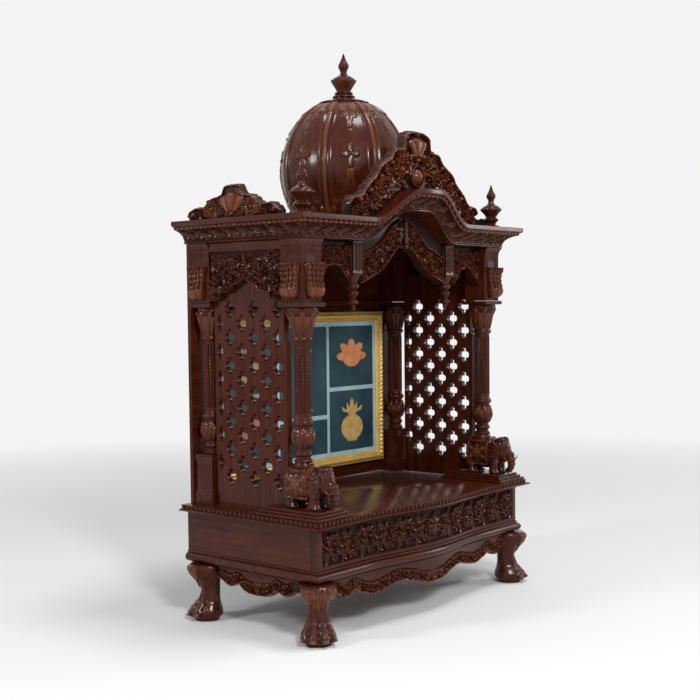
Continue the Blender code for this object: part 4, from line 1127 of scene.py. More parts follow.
def build_side_valances():
    """Arched boards at both sides, with rolled rims and foliage."""
    low_x = DROP_X + DROP_HALF + FIT
    centre, half = (low_x + BAY_HALF) / 2, (BAY_HALF - low_x) / 2
    arch = edge_line([(0.0, 0.607), (0.37, 0.557), (0.63, 0.41), (1.0, 0.279)], half, HEAD_Z,
                     HEAD_H)

    def relief(a, b):
        right, above = np.abs(a), b - arch(a)
        rise = foliage(
            right, b - HEAD_Z,
            ((0.0, 0.076, 90, 0.026), (0.014, 0.079, 30, 0.020), (0.050, 0.04, 100, 0.026),
             (0.030, 0.088, 60, 0.022), (0.0, 0.106, 10, 0.018)),
            ((0.035, 0.068, 0.0155, -1), (0.016, 0.097, 0.0135, 1), (0.043, 0.103, 0.0125, -1)))
        rise = rimmed(rise, right, above, (0.8, 0.0025, 0.0023), (0.9, 0.0072, 0.0105, 0.0028))
        return -0.005 + 0.0110 * rise * ease(above, 0, 0.002) * ease(VALANCE_TOP - b, 0.002, 0.005)

    along = np.linspace(-half, half, 92)
    for side, sign in SIDES:
        board(f"valance_{side}", along, arch(along), VALANCE_TOP, CARVED_THICK, relief,
              lambda a, b, out, sign=sign: (sign * (centre + a), VALANCE_FACE - out, b),
              ALONG_X, 70)


def build_middle_valance():
    """Ogee board with foliage that keeps to its rolled rim, under a fine line, and a slim
    turned post in the middle of its arch."""
    half = DROP_X - DROP_HALF - FIT
    ogee = edge_line([(0.0, 0.934), (0.15, 0.90), (0.275, 0.80), (0.40, 0.655), (0.58, 0.49),
                      (0.76, 0.41), (1.0, 0.295)], half, HEAD_Z, HEAD_H)

    def relief(a, b):
        right, above = np.abs(a), b - ogee(a)
        rise = foliage(
            right, b - HEAD_Z,
            ((0.0, 0.158, 55, 0.030), (0.036, 0.132, 80, 0.022), (0.036, 0.116, 240, 0.018),
             (0.067, 0.108, 60, 0.022), (0.068, 0.094, 230, 0.018), (0.096, 0.086, 50, 0.022),
             (0.140, 0.04, 100, 0.022), (0.140, 0.082, 110, 0.024), (0.110, 0.098, 80, 0.024),
             (0.082, 0.126, 60, 0.022), (0.010, 0.128, 200, 0.020)),
            ((0.022, 0.142, 0.017, 1), (0.052, 0.122, 0.018, -1), (0.082, 0.098, 0.018, 1),
             (0.110, 0.076, 0.017, -1), (0.134, 0.062, 0.014, 1), (0.096, 0.13, 0.013, -1),
             (0.048, 0.158, 0.015, 1), (0.124, 0.104, 0.015, -1), (0.072, 0.146, 0.012, 1)))
        rise = rimmed(rise, right, above, (0.85, 0.0028, 0.0026), (0.9, 0.0082, 0.0125, 0.0030))
        band = ease(above, 0.0560, 0.0500) * ease(above, 0.0, 0.002)
        line = 0.8 * round_over((above - 0.0570) / 0.0022)
        below = VALANCE_TOP + bonnet(a) - b
        return -0.005 + 0.0110 * np.maximum(rise * band, line) * ease(below, 0.002, 0.005)

    along = np.linspace(-half, half, 210)
    board("valance_middle", along, ogee(along), VALANCE_TOP + bonnet(along), CARVED_THICK,
          relief, on_front(VALANCE_FACE), ALONG_X, 80)

    line = profile(([(0.0008, 0.0), (0.0045, 0.0030), (0.0060, 0.0075), (0.0038, 0.0115),
                     (0.0062, 0.0150), (0.0042, 0.0185), (0.0044, 0.0540), (0.0060, 0.0570),
                     (0.0040, 0.0605), (0.0030, 0.0670)], 5))
    turned("valance_post", (0.0, VALANCE_FACE - 0.0045), raise_line(line, CORNICE_Z - 0.013),
           ALONG_Z, around=32)


def build_drops():
    """Hanging posts between the valances: a fluted square block over a turned pendant."""
    tall = 0.1417
    foot = VALANCE_TOP - tall
    line = profile(([(0.0008, 0.0), (0.0036, 0.035), (0.0045, 0.07), (0.0048, 0.09),
                     (0.0100, 0.118), (0.0108, 0.15), (0.0060, 0.195), (0.0060, 0.21),
                     (0.0108, 0.245), (0.0112, 0.285), (0.0070, 0.315), (0.0125, 0.345),
                     (0.0132, 0.385), (0.0092, 0.42), (0.0110, 0.45), (0.0140, 0.49),
                     (0.0148, 0.51)], 6))
    line = raise_line(line, foot, tall) + [(DROP_HALF, foot + 0.076), (DROP_HALF, VALANCE_TOP)]

    def detail(theta, z):
        side = theta - np.round(theta / (pi / 2)) * (pi / 2)
        across = np.tan(side) / 0.5
        flutes = -0.0021 * np.abs(np.sin(pi * across)) * ease(np.abs(across), 1.98, 1.8)
        return flutes * ease(z, foot + 0.080, foot + 0.084) \
            * ease(z, VALANCE_TOP - 0.004, VALANCE_TOP - 0.007)

    def shape(theta, z):
        return 1 + (squared(theta) - 1) * ease(z, foot + 0.072, foot + 0.0745)

    for side, sign in SIDES:
        turned(f"fluted_drop_{side}", (sign * DROP_X, VALANCE_Y), line, ALONG_Z,
               (f"drop_{side}",), detail, 64, 0.0022, shape)


# Cornice

def cornice_line():
    """Outer section of the cornice from its foot to its top."""
    shares = profile(
        ([(0.0, 0.0), (0.12, 0.012), (0.16, 0.04), (0.16, 0.075), (0.11, 0.11), (0.14, 0.14)], 0),
        ([(0.15, 0.15), (0.20, 0.28), (0.31, 0.41), (0.50, 0.53), (0.70, 0.60)], 7),
        ([(0.72, 0.61), (0.79, 0.635), (0.84, 0.69), (0.84, 0.745)], 4),
        ([(0.93, 0.765), (0.97, 0.78), (1.0, 0.81), (1.0, 0.97), (0.98, 1.0)], 0))
    return dense(scaled(shares, CORNICE_OUT, 0.0, CORNICE_H), 0.0017)


def leaves_on(along, rise):
    """Broad S-shaped leaves on the ogee, each followed by a short slim one, and a row of beads
    over them. A leaf's middle line leans and bends by a sine of its height."""
    pitch = 0.0405
    leaf = np.zeros(np.broadcast(along, rise).shape)
    for middle, width, length, strength in ((0.80, 0.15, 0.0150, 0.85), (0.32, 0.26, 0.0205, 1.0)):
        level = (rise - 0.0066) / length
        held = np.clip(level, 0, 1)
        lean = 0.34 * held - 0.17 * np.sin(tau * held)
        place = (along / pitch - lean - middle + 0.5) % 1.0 - 0.5
        half = width * np.clip(1 - (2 * held ** 0.85 - 1) ** 2, 0, 1) ** 0.5 + 1e-6
        across = np.abs(place) / half
        rib = 0.34 * np.exp(-(across / 0.14) ** 2) + 0.18 * np.exp(-((across - 0.55) / 0.12) ** 2)
        one = round_over(across) * (0.70 + 0.30 * held) - rib
        one = np.where((level > 0) & (level < 1) & (across < 1), np.clip(one, 0, 1), 0.0)
        leaf = laid(leaf, strength * one)
    return leaf, beads(along, rise - 0.0310, pitch / 3, 0.0042)


def build_cornice():
    """Mitred crown moulding swept round three sides; over the middle of the front it rises in
    a bonnet and swells forward. The last points of each section are its flat inner faces."""
    line = cornice_line()
    out, rise = line[:, 0], line[:, 1]
    inner_out, shelf = -0.035, 0.030

    def raised(along):
        leaf, bead = leaves_on(along, rise)
        hollow = ease(rise, 0.0064, 0.0076) * ease(rise, 0.0278, 0.0266)
        move = 0.0062 * leaf - 0.0026 * hollow + 0.0034 * bead
        # painted highlight: the leaves' tone is lifted; painted shade: the sunk cove's tone is lowered
        return move, np.clip(move / 0.003 + 0.1, -1, 1)

    share = np.linspace(-1, 1, 441)[:, None]
    x = share * (BODY_HALF + out - FIT)
    move, tone = raised(share * BODY_HALF + 0 * out)
    mitre = ease(1 - np.abs(share), 0.0, 0.012)
    move = move * mitre
    y = BODY_FRONT - out - bow(x, BONNET_HALF, BONNET_BOW) - 0.75 * move
    z = CORNICE_Z + rise + bonnet(x) - 0.55 * move
    inner = np.array([(inner_out, CORNICE_H), (inner_out, 0.0)])
    x_in = share * (BODY_HALF + inner[:, 0] - FIT)
    points = np.concatenate((np.stack((x, y, z), -1), np.stack(
        (x_in, BODY_FRONT - inner[:, 0] + 0 * share, CORNICE_Z + inner[:, 1] + bonnet(x_in)), -1)), 1)
    tone = np.hstack((tone, np.zeros((len(share), 2))))
    solid("carved_cornice_front", points, ALONG_X, ("cornice_front",), tone)

    inner = np.array([(inner_out + 0.010, CORNICE_H), (inner_out + 0.010, shelf - FIT),
                      (inner_out, shelf - FIT), (inner_out, 0.0)])
    share = np.linspace(0, 1, 180)[:, None]
    y = BODY_FRONT - out + share * (BACK_Y - BODY_FRONT + out)
    move, tone = raised(y)
    move = move * ease(share, 0.0, 0.02) * ease(1 - share, 0.0, 0.008)
    y_in = BODY_FRONT - inner[:, 0] + share * (BACK_Y - BODY_FRONT + inner[:, 0])
    across = BODY_HALF + out + 0.75 * move
    z = CORNICE_Z + rise - 0.55 * move
    for side, sign in SIDES:
        points = np.concatenate((
            np.stack((sign * across, y, z + 0 * share), -1),
            np.stack((sign * (BODY_HALF + inner[:, 0]) + 0 * share, y_in,
                      CORNICE_Z + inner[:, 1] + 0 * share), -1)), 1)
        solid(f"carved_cornice_{side}", points, ALONG_Y, (f"cornice_{side}",),
              np.hstack((tone, np.zeros((len(share), 4)))))


# Crests

def tips(a, pitch, size):
    """Small leaf tips that break a crest's upper edge: |sin| scallops."""
    return size * (np.abs(np.sin(pi * a / pitch)) - 0.7)


def build_front_crest():
    """Pediment with whorls that grow towards the middle, a fan shell and a shield."""
    low = ROOF_Z + FIT
    upper = edge_line(
        [(0.0, 1.0), (0.10, 0.989), (0.19, 0.936), (0.207, 0.807), (0.333, 0.775), (0.405, 0.68),
         (0.56, 0.572), (0.62, 0.476), (0.748, 0.358), (0.83, 0.251), (0.955, 0.219), (1.0, 0.155)],
        FRONT_CREST_HALF, ROOF_Z, FRONT_CREST_H)
    fan, shield = 0.117, 0.092

    def relief(a, b):
        right, up, below = np.abs(a), b - ROOF_Z, upper(a) - b
        rise = foliage(
            right, up,
            ((0.026, 0.151, 40, 0.030), (0.052, 0.109, 75, 0.028), (0.050, 0.081, 240, 0.024),
             (0.090, 0.079, 60, 0.028), (0.088, 0.055, 220, 0.024), (0.126, 0.051, 60, 0.026),
             (0.124, 0.029, 200, 0.022), (0.160, 0.029, 50, 0.024), (0.190, 0.017, 40, 0.020),
             (0.022, 0.097, 330, 0.020)),
            ((0.060, 0.129, 0.014, -1), (0.100, 0.101, 0.013, 1), (0.136, 0.069, 0.012, -1),
             (0.204, 0.013, 0.012, -1), (0.176, 0.019, 0.017, 1), (0.143, 0.037, 0.021, -1),
             (0.108, 0.065, 0.024, 1), (0.071, 0.093, 0.026, -1), (0.034, 0.119, 0.025, 1)), 8)
        rise = np.maximum(rise, 0.8 * round_over((below - 0.004) / 0.0034))
        shell, far = np.arctan2(a, up - fan), np.hypot(a, up - fan)
        flutes = (0.45 + 0.55 * np.abs(np.cos(7 * shell))) * ease(far, 0.010, 0.020)
        rise = np.where((np.abs(shell) < 0.62) & (far > 0.012) & (far < 0.058),
                        np.maximum(flutes * ease(far, 0.060, 0.050), rise * (far > 0.058)), rise)
        for place, height in ((0.0, 0.126), (0.0, 0.18), (0.019, 0.134), (0.086, 0.115),
                              (0.122, 0.085), (0.156, 0.055), (0.190, 0.035), (0.048, 0.145),
                              (0.054, 0.103), (0.090, 0.067), (0.126, 0.041)):
            rise = np.maximum(rise, 1.15 * round_over(np.hypot(right - place, up - height) / 0.0058))
        radius = np.hypot(a / 0.0175, (up - shield) / 0.0195)
        boss = np.maximum(1.3 * round_over(radius), 0.9 * round_over((radius - 1.14) / 0.13))
        rise = np.where(radius < 1.28, boss, rise)
        return -0.0050 + 0.0128 * rise * ease(b - low - bonnet(a), 0.0, 0.004)

    along = np.linspace(-FRONT_CREST_HALF, FRONT_CREST_HALF, 310)
    edge = np.maximum(upper(along) + tips(along, 0.0135, 0.0040), low + bonnet(along) + 0.006)
    board("crest_front", along, low + bonnet(along), edge, CARVED_THICK, relief,
          on_front(FRONT_CREST_Y - CARVED_THICK / 2), ALONG_X, 84, 0.003)


def build_side_crests():
    """Low pediments with a fan shell over the middle and a round swell under a whorl on each
    side of it."""
    low = ROOF_Z + FIT
    upper = edge_line([(0.0, 1.0), (0.16, 0.97), (0.235, 0.72), (0.44, 0.63), (0.625, 0.385),
                       (0.83, 0.385), (1.0, 0.17)], SIDE_CREST_HALF, ROOF_Z, SIDE_CREST_H)
    fan = 0.003

    def relief(a, b):
        right, up, below = np.abs(a), b - ROOF_Z, upper(a) - b
        swell = round_over(np.hypot(right - 0.054, up - 0.017) / 0.028)
        swell = np.maximum(swell, 0.9 * round_over(np.hypot(a / 0.032, (up - 0.025) / 0.042)))
        rise = foliage(right, up, ((0.030, 0.005, 75, 0.030), (0.080, 0.007, 15, 0.024),
                                   (0.098, 0.005, 10, 0.020)),
                       ((0.084, 0.011, 0.0130, -1), (0.055, 0.019, 0.0240, 1)), 8)
        rise = np.maximum(rise, 0.75 * round_over((below - 0.0032) / 0.0028))
        turn, far = np.arctan2(a, up - fan), np.hypot(a, up - fan)
        shell = (0.30 + 0.70 * np.abs(np.cos(4.5 * turn))) * ease(far, 0.006, 0.014)
        inside = ease(far, 0.0480, 0.0435) * ease(np.abs(turn), 1.05, 0.98)
        rise = np.where(inside > 0, np.maximum(shell * inside, 0.25 * rise), rise)
        ball = round_over(np.hypot(right - 0.113, up - 0.011) / 0.0095)
        for place, height in ((0.0, 0.007), (0.031, 0.041), (0.064, 0.037), (0.090, 0.024)):
            ball = np.maximum(ball, round_over(np.hypot(right - place, up - height) / 0.0050))
        return -0.0045 + 0.0072 * rise + 0.0046 * swell + 0.0060 * ball

    along = np.linspace(-SIDE_CREST_HALF, SIDE_CREST_HALF, 200)
    edge = np.maximum(upper(along) + tips(along, 0.0115, 0.0032), low + 0.004)
    for side, sign in SIDES:
        board(f"crest_{side}", along, low, edge, CARVED_THICK, relief,
              on_side(sign, SIDE_CREST_X + CARVED_THICK / 2, SIDE_CREST_Y), ALONG_Y, 50, 0.0025)


# Framed picture

PICTURE_HALF = 0.285
PICTURE_H = 0.364
PICTURE_MID_Z = 0.268 + PICTURE_H / 2
PICTURE_BACK = BACK_Y - WALL - FIT
BORDER = 0.024


def build_frame():
    """Gilt frame: a mitred section swept round a rectangle, its roll cut with slanted
    gadroons."""
    rebate = dense([(0.0, 0.0), (0.0, 0.010), (0.0015, 0.0122), (0.004, 0.0128)], 0.003)
    roll = smooth([(0.0045, 0.0125), (0.007, 0.0158), (0.0105, 0.0170), (0.014, 0.0155),
                   (0.0165, 0.0118)], 4)
    lip = dense([(0.017, 0.0115), (0.0185, 0.0128), (0.0205, 0.0120), (0.0225, 0.0085),
                 (BORDER, 0.0075), (BORDER, 0.0)], 0.003)
    inset, proud = np.vstack((rebate, roll, lip)).T
    rows = []
    corners = ((-1, -1), (1, -1), (1, 1), (-1, 1))
    for start, end in zip(corners, corners[1:] + corners[:1]):
        level = start[1] == end[1]
        t = np.linspace(0, 1, 190 if level else 130, endpoint=False)[:, None]
        u, v = start[0] + (end[0] - start[0]) * t, start[1] + (end[1] - start[1]) * t
        along = u * PICTURE_HALF if level else v * PICTURE_H / 2
        cut = np.abs(np.sin(pi * (along / 0.0105 + inset / 0.011)))
        move = np.where((inset > 0.0048) & (inset < 0.0163), 0.0026 * (cut - 0.6), 0.0)
        # painted highlight: the outer lip's tone is lifted towards the pale gold of high places
        rows.append(np.stack((u * (PICTURE_HALF - inset), PICTURE_BACK - proud - move,
                              PICTURE_MID_Z + v * (PICTURE_H / 2 - inset),
                              move / 0.0010 + 0.4 * (inset > 0.0175)), -1))
    rows = np.vstack(rows)
    solid("gilt_frame", rows[..., :3], GILDING, ("picture_frame",), rows[..., 3], True)


def sheet(name, outline, proud, deep, finish, nodes=()):
    """A flat piece of the outline, so deep, with its face that far proud of the mount's."""
    face = PICTURE_BACK - 0.005
    rows = [np.stack((outline[:, 0], np.full(len(outline), face - level), outline[:, 1]), -1)
            for level in (proud, proud - deep)]
    return solid(name, np.array(rows), finish, nodes)


def rectangle(x0, x1, z0, z1):
    """Corners of an upright rectangle."""
    return np.array([(x0, z0), (x1, z0), (x1, z1), (x0, z1)])


def build_picture():
    """Mounted board with six printed fields, each with a plain devotional emblem."""
    mount = printed("pale_mount", (0.36, 0.56, 0.62), (0.52, 0.70, 0.74))
    field = printed("printed_field", (0.012, 0.040, 0.070), (0.035, 0.095, 0.105), 14.0)
    warm = printed("printed_orange", (0.62, 0.20, 0.075), (0.80, 0.36, 0.17), 60.0)
    brass = printed("printed_brass", (0.52, 0.30, 0.06), (0.80, 0.58, 0.22), 60.0)
    half, tall = PICTURE_HALF - BORDER, PICTURE_H / 2 - BORDER
    foot, head = PICTURE_MID_Z - tall, PICTURE_MID_Z + tall
    sheet("mount_board", rectangle(-half - FIT, half + FIT, foot - FIT, head + FIT), 0.0, 0.005,
          mount, ("picture_panel",))
    gap = 0.010
    wide = (2 * half - 4 * gap) / 3
    t = np.linspace(0, tau, 97)[:-1]
    lotus_r = 0.62 + 0.38 * np.abs(np.cos(4 * t)) * (np.sin(t) > -0.35)
    lotus = np.stack((lotus_r * np.cos(t), 0.75 * lotus_r * np.sin(t)), -1)
    pot = mirrored_outline(
        ([(0.30, -0.92), (0.34, -0.84), (0.62, -0.62), (0.72, -0.28), (0.56, 0.04),
          (0.26, 0.22), (0.30, 0.34)], 6),
        ([(0.62, 0.40), (0.70, 0.62), (0.34, 0.44), (0.36, 0.78), (0.14, 0.56), (0.12, 0.80),
          (0.0, 0.96)], 0))
    lamp = mirrored_outline(
        ([(0.30, -1.0), (0.29, -0.95), (0.10, -0.88), (0.05, -0.76), (0.09, -0.66),
          (0.04, -0.56), (0.04, -0.10), (0.09, 0.0), (0.04, 0.10), (0.05, 0.34),
          (0.10, 0.42), (0.28, 0.50), (0.31, 0.57)], 6),
        ([(0.08, 0.56), (0.09, 0.68), (0.05, 0.82), (0.0, 0.98)], 0))
    names = (("lotus", lotus, warm), ("pot", pot, brass), ("lamp", lamp, brass))
    for column in range(3):
        x0 = -half + gap + column * (wide + gap)
        split = 0.28 if column == 1 else 0.5
        low_part = (2 * tall - 3 * gap) * split
        for row in range(2):
            z0 = foot + gap + row * (low_part + gap)
            z1 = head - gap if row else z0 + low_part
            word = f"{column}_{row}"
            sheet(f"field_{word}", rectangle(x0, x0 + wide, z0, z1), 0.0007, 0.0010, field)
            kind, outline, finish = names[2 * row if column == 1 else (row + column // 2) % 2]
            size = min(0.46 * (z1 - z0), 0.34 * wide) if kind != "lamp" else 0.44 * (z1 - z0)
            sheet(f"{kind}_{word}", outline * size + (x0 + wide / 2, (z0 + z1) / 2), 0.0016,
                  0.0010, finish)


def mirrored_outline(*runs):
    """A closed outline from the runs of its right half, given from the foot to the top."""
    right = np.array(profile(*runs))
    left = right[::-1] * (-1, 1)
    keep = np.abs(left[:, 0]) > 1e-9
    return np.vstack((right, left[keep]))


# Elephants

VOXEL = 0.00175
HOOF_X = 0.0160
FORE_Y = -0.040
HIND_Y = 0.019
SADDLE_Z = 0.0874


def merged(parts):
    """One skin over overlapping ellipsoids, each a (centre, half sizes) pair: they are remeshed
    together, smoothed, and returned as points, faces and outward normals."""
    build = bmesh.new()
    for centre, half in parts:
        place = Matrix.Translation(centre) @ Matrix.Diagonal((*half, 1.0))
        bmesh.ops.create_icosphere(build, subdivisions=3, radius=1.0, matrix=place)
    mesh = bpy.data.meshes.new("skin")
    build.to_mesh(mesh)
    build.free()
    skin = bpy.data.objects.new("skin", mesh)
    bpy.context.collection.objects.link(skin)
    remesh = skin.modifiers.new("remesh", "REMESH")
    remesh.mode = "VOXEL"
    remesh.voxel_size = VOXEL
    soften = skin.modifiers.new("soften", "SMOOTH")
    soften.factor = 0.6
    soften.iterations = 6
    shaped = skin.evaluated_get(bpy.context.evaluated_depsgraph_get()).to_mesh()
    count = len(shaped.vertices)
    points, normals = np.empty(count * 3, np.float32), np.empty(count * 3, np.float32)
    shaped.vertices.foreach_get("co", points)
    shaped.vertices.foreach_get("normal", normals)
    faces = [list(face.vertices) for face in shaped.polygons]
    bpy.data.objects.remove(skin)
    bpy.data.meshes.remove(mesh)
    return points.reshape(-1, 3).astype(float), faces, normals.reshape(-1, 3).astype(float)


def chain(path):
    """Balls strung along (y, z, radius) places, a fifth of the way apart."""
    path = np.array(path, float)
    t = np.linspace(0, len(path) - 1, (len(path) - 1) * 5 + 1)
    where = np.stack([np.interp(t, np.arange(len(path)), column) for column in path.T], -1)
    return [((0.0, y, z), (r, r, r)) for y, z, r in where.tolist()]


def elephant_balls():
    """Body, head, ears, legs with their feet, and trunk, as (centre, half sizes)."""
    parts = [((0.0, -0.012, 0.047), (0.0294, 0.0440, 0.0370)),
             ((0.0, 0.017, 0.044), (0.0284, 0.0220, 0.0385)),
             ((0.0, -0.054, 0.056), (0.0208, 0.0195, 0.0265)),
             ((0.0, -0.050, 0.073), (0.0140, 0.0145, 0.0110)),
             ((0.0, -0.060, 0.042), (0.0150, 0.0155, 0.0150))]
    for side in (-1, 1):
        parts.append(((side * 0.0075, -0.056, 0.0765), (0.0085, 0.0100, 0.0080)))
        parts.append(((side * 0.0220, -0.043, 0.053), (0.0046, 0.0155, 0.0225)))
        parts.append(((side * 0.0240, -0.039, 0.039), (0.0042, 0.0105, 0.0140)))
        for y in (HIND_Y, FORE_Y):
            for z, r in ((0.0060, 0.0108), (0.0150, 0.0098), (0.0250, 0.0105), (0.0340, 0.0120)):
                parts.append(((side * HOOF_X, y, z), (r, r, 0.0095)))
            parts.append(((side * HOOF_X, y - 0.004, 0.0030), (0.0108, 0.0095, 0.0052)))
    return parts + chain(
        [(-0.064, 0.050, 0.0120), (-0.074, 0.044, 0.0108), (-0.0790, 0.033, 0.0092),
         (-0.0795, 0.022, 0.0080), (-0.0765, 0.0125, 0.0068), (-0.0690, 0.0080, 0.0058)])


def elephant_relief(x, y, z, side_on):
    """Height of the carving over the skin: a flowered cloth with a corded, fringed hem on the
    back, ribbed ears, rings down the trunk, ridges on the brow, folds on rump and feet, nails.
    Ribs and rings are |sin| of an angle; the flower is only on skin that faces sideways."""
    across, up = y + 0.002, z - 0.048
    cloth = ease(np.abs(across), 0.0275, 0.0265) * ease(z, 0.020, 0.021) * ease(y, -0.030, -0.029)
    hem = np.minimum(0.0245 - np.abs(across), z - 0.0225)
    bloom = flower(across, up, (0.0, 0.0), 0.0125, 6)
    for angle in range(6):
        turn = angle * pi / 3 + pi / 6
        root = (0.010 * cos(turn), 0.010 * sin(turn))
        bloom = np.maximum(bloom, 0.9 * lobe(across, up, root, turn, 0.014, 0.0036))
    fringe = 0.5 + 0.5 * np.cos(tau * across / 0.0032)
    border = round_over(hem / 0.0011)
    raised = cloth * (0.0012 + 0.0030 * np.maximum(bloom * side_on, border)
                      + 0.0012 * fringe * (hem < -0.001))
    ear = ease(np.abs(x), 0.0195, 0.0215) * ease(y, -0.030, -0.033) * (y > -0.062) * (z > 0.022)
    angle = np.arctan2(z - 0.058, y + 0.062)
    raised = raised + ear * 0.0026 * (np.abs(np.sin(angle * 7)) - 0.4)
    trunk = ease(y, -0.064, -0.069) * ease(np.abs(x), 0.013, 0.010)
    turn = np.arctan2(z - 0.018, -(y + 0.058))
    raised = raised + trunk * 0.0020 * (np.abs(np.sin(turn * 9)) - 0.4)
    brow = ease(z, 0.050, 0.054) * ease(y, -0.050, -0.058) * (1 - trunk)
    raised = raised + brow * 0.0013 * np.cos(tau * np.abs(x) / 0.0058)
    rump = ease(y, 0.0255, 0.028) * ease(z, 0.016, 0.024)
    raised = raised + rump * 0.0022 * (np.abs(np.sin(pi * (z - 0.5 * y) / 0.0105)) - 0.4)
    leg = ease(z, 0.024, 0.018) * (np.abs(x) > 0.004) * (y > -0.058)
    from_leg = y - np.where(y > -0.010, HIND_Y, FORE_Y)
    nails = np.abs(np.sin(5 * np.arctan2(np.abs(x) - HOOF_X, -from_leg)))
    return raised + leg * (0.0006 * (np.abs(np.sin(tau * z / 0.011)) - 0.5)
                           + 0.0010 * (nails - 0.6) * ease(z, 0.008, 0.005))


def build_elephants():
    """Elephants that carry the front columns, their skin displaced along its normals, each
    under a fluted pad, with tusks and eyes."""
    flat, faces, normal = merged(elephant_balls())
    raised = elephant_relief(*flat.T, ease(np.abs(normal[:, 0]), 0.12, 0.30))
    shaped = flat + normal * raised[:, None]
    shaped[:, 2] = np.clip(shaped[:, 2], 0.0, SADDLE_Z)
    tone = np.clip(raised / 0.0022 - 0.25, -1, 1)
    pad = profile(
        ([(0.0240, 0.0665), (0.0278, 0.0705), (0.0285, 0.0745), (0.0262, 0.0780)], 5),
        ([(0.0205, 0.0792), (0.0212, 0.0812), (0.0205, 0.0832), (0.0180, 0.0852)], 4),
        ([(0.0172, SADDLE_Z)], 0))
    foot = DECK_Z + FIT

    def fluted(theta, z):
        return 0.0018 * (np.abs(np.cos(9 * theta)) - 0.5) * (z < foot + 0.0780)

    for side, sign in SIDES:
        place = np.array((sign * COLUMN_X, FRONT_COLUMN_Y, foot))
        finished(f"elephant_body_{side}", shaped + place, faces, ALONG_Z, (f"elephant_{side}",), tone,
                 crisp=60)
        turned(f"elephant_pad_{side}", place[:2], raise_line(pad, foot), ALONG_Z, detail=fluted,
               around=64, gap=0.0016)
        for hand, word in ((-1, "left"), (1, "right")):
            build_tusk(f"tusk_{side}_{word}", place, hand)
            eye(f"eye_{side}_{word}", place + (hand * 0.0172, -0.0650, 0.0575))


def build_tusk(name, place, hand):
    """Tapering tusk: circles along a curve that leaves the cheek forwards and turns up."""
    t = np.linspace(0, 1, 22)[:, None]
    theta = np.arange(16)[None, :] * tau / 16
    r = 0.0029 * (1 - 0.85 * t ** 1.6)
    x = hand * (0.0105 + 0.0030 * np.sin(pi * t / 2)) + r * np.cos(theta)
    swing = t * radians(62)
    y = -0.066 - 0.024 * np.sin(swing) + r * np.sin(theta) * np.sin(swing)
    z = 0.0375 - 0.024 * t * (1 - t) + 0.013 * (1 - np.cos(swing)) + r * np.sin(theta) * np.cos(swing)
    points = np.stack((x, y, z), -1) + place
    # wear and a painted highlight: the tusks take the lighter tone of high places
    solid(name, points, ALONG_Z, tone=np.full(points.shape[:2], 0.9))


def eye(name, centre):
    """Almond eye: a flattened ball whose outline is pointed front and back."""
    t = np.linspace(0.03, pi - 0.03, 13)[:, None]
    theta = np.arange(16)[None, :] * tau / 16
    x = 0.0016 * np.sin(t) * np.cos(theta)
    y = 0.0030 * np.cos(t) + 0 * theta
    z = 0.0017 * np.sin(t) ** 1.5 * np.sin(theta)
    # wear and a painted highlight: the eyes take the lighter tone of high places
    solid(name, np.stack((x, y, z), -1) + centre, ALONG_Z, tone=np.full((13, 16), 0.9))


# Plain solids that stay as modelled

def finish_plain():
    """The flat boards keep their own meshes and take the lacquer."""
    for name, finish in (("base_left", ALONG_Y), ("base_right", ALONG_Y), ("base_back", ALONG_X),
                         ("back_wall", ALONG_X), ("roof_board", ALONG_X)):
        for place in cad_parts[name].material_slots:
            place.material = finish


build_legs()
build_aprons()
build_base()
build_dentils()
build_plinths()
build_base_front()
build_columns()
build_heads()
build_elephants()
build_screens()
build_friezes()
build_side_valances()
build_middle_valance()
build_drops()
build_cornice()
build_front_crest()
build_side_crests()
build_finials()
build_dome()
build_rail()
build_frame()
build_picture()
finish_plain()


# Floor, light and camera

def flat_light(name, place, aim, size, watts):
    """Square soft lamp at a place, turned to face the aim."""
    lamp = bpy.data.lights.new(name, "AREA")
    lamp.shape = "SQUARE"
    lamp.size = size
    lamp.energy = watts
    holder = bpy.data.objects.new(name, lamp)
    holder.location = place
    holder.rotation_euler = (Vector(aim) - Vector(place)).to_track_quat("-Z", "Y").to_euler()
    bpy.context.collection.objects.link(holder)


ROOM = 0.90
DIM_ROOM = 0.40


def build_floor():
    """Pale floor that carries the shadow and fades into the room with the distance."""
    corners = ((-12.0, -12.0), (12.0, -12.0), (12.0, 12.0), (-12.0, 12.0))
    mesh = bpy.data.meshes.new("floor")
    mesh.from_pydata([(x, y, 0.0) for x, y in corners], [], [(0, 1, 2, 3)])
    floor = bpy.data.objects.new("floor", mesh)
    bpy.context.collection.objects.link(floor)
    paint = Nodes(bpy.data.materials.new("pale_floor"))
    paint.shader.inputs["Base Color"].default_value = (0.84, 0.84, 0.84, 1.0)
    paint.shader.inputs["Roughness"].default_value = 0.9
    paint.shader.inputs["Specular IOR Level"].default_value = 0.1
    place = paint.add("ShaderNodeTexCoord").outputs["Object"]
    away = paint.add("ShaderNodeVectorMath", {"operation": "LENGTH"})
    paint.feed(away.inputs[0], place)
    fade = paint.spread(away.outputs["Value"], 1.2, 3.4, 0.0, 1.0)
    seen = paint.add("ShaderNodeLightPath").outputs["Is Camera Ray"]
    glow = paint.add("ShaderNodeEmission", Color=(1.0, 1.0, 1.0, 1.0), Strength=ROOM)
    join = paint.add("ShaderNodeMixShader", Fac=paint.math("MULTIPLY", fade, seen))
    paint.feed(join.inputs[1], paint.shader.outputs[0])
    paint.feed(join.inputs[2], glow.outputs[0])
    paint.feed(paint.tree.nodes["Material Output"].inputs["Surface"], join.outputs[0])
    mesh.materials.append(paint.made)


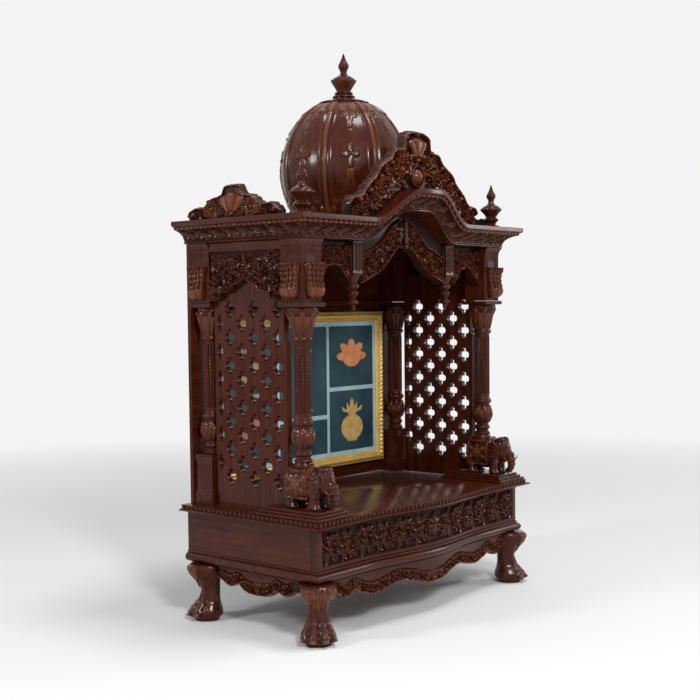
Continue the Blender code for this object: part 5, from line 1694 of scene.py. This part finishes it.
def build_room():
    """Pale room, which the camera and gloss see at full strength and the shading dimmed."""
    room = Nodes(bpy.data.worlds.new("room"))
    bpy.context.scene.world = room.made
    ray = room.add("ShaderNodeLightPath").outputs
    strongest = room.math("MAXIMUM", ray["Is Camera Ray"], ray["Is Glossy Ray"])
    strongest = room.math("MAXIMUM", strongest, ray["Is Transmission Ray"])
    background = room.tree.nodes["Background"]
    room.feed(background.inputs["Color"], (1.0, 1.0, 1.0, 1.0))
    room.feed(background.inputs["Strength"], room.spread(strongest, 0.0, 1.0, DIM_ROOM, ROOM))


# The camera's turn and place, and its focal length and centre in pixels of a square picture
YAW, PITCH, ROLL = radians(49.45), radians(3.476), radians(-0.62)
EYE = (-2.0430, -1.6542, 0.6492)
PICTURE, FOCAL, CENTRE_X, CENTRE_Y = 700, 1206.52, 335.07, 377.82


def build_camera():
    """Camera that sees the piece as the photograph does."""
    ahead = Vector((sin(YAW) * cos(PITCH), cos(YAW) * cos(PITCH), -sin(PITCH)))
    right = Vector((cos(YAW), -sin(YAW), 0.0))
    up = right.cross(ahead)
    level_right = right * cos(ROLL) + up * sin(ROLL)
    level_up = up * cos(ROLL) - right * sin(ROLL)
    lens = bpy.data.cameras.new("camera")
    lens.sensor_width = 36.0
    lens.lens = lens.sensor_width * FOCAL / PICTURE
    lens.shift_x = (PICTURE / 2 - CENTRE_X) / PICTURE
    lens.shift_y = (CENTRE_Y - PICTURE / 2) / PICTURE
    camera = bpy.data.objects.new("camera", lens)
    turn = Matrix((level_right, level_up, -ahead)).transposed().to_4x4()
    camera.matrix_world = Matrix.Translation(EYE) @ turn
    bpy.context.collection.objects.link(camera)
    bpy.context.scene.camera = camera


build_floor()
build_room()
flat_light("key", (-1.7, -2.7, 2.2), (0.0, 0.0, 0.6), 0.55, 62.0)
flat_light("fill", (2.6, -1.8, 1.4), (0.0, 0.0, 0.6), 0.9, 22.0)
flat_light("rim", (-2.7, 0.9, 1.7), (0.0, 0.1, 0.7), 0.45, 26.0)
flat_light("top", (0.1, -0.7, 3.2), (0.0, 0.0, 0.6), 0.7, 34.0)
build_camera()
bpy.context.scene.view_settings.view_transform = "Standard"
bpy.context.view_layer.update()
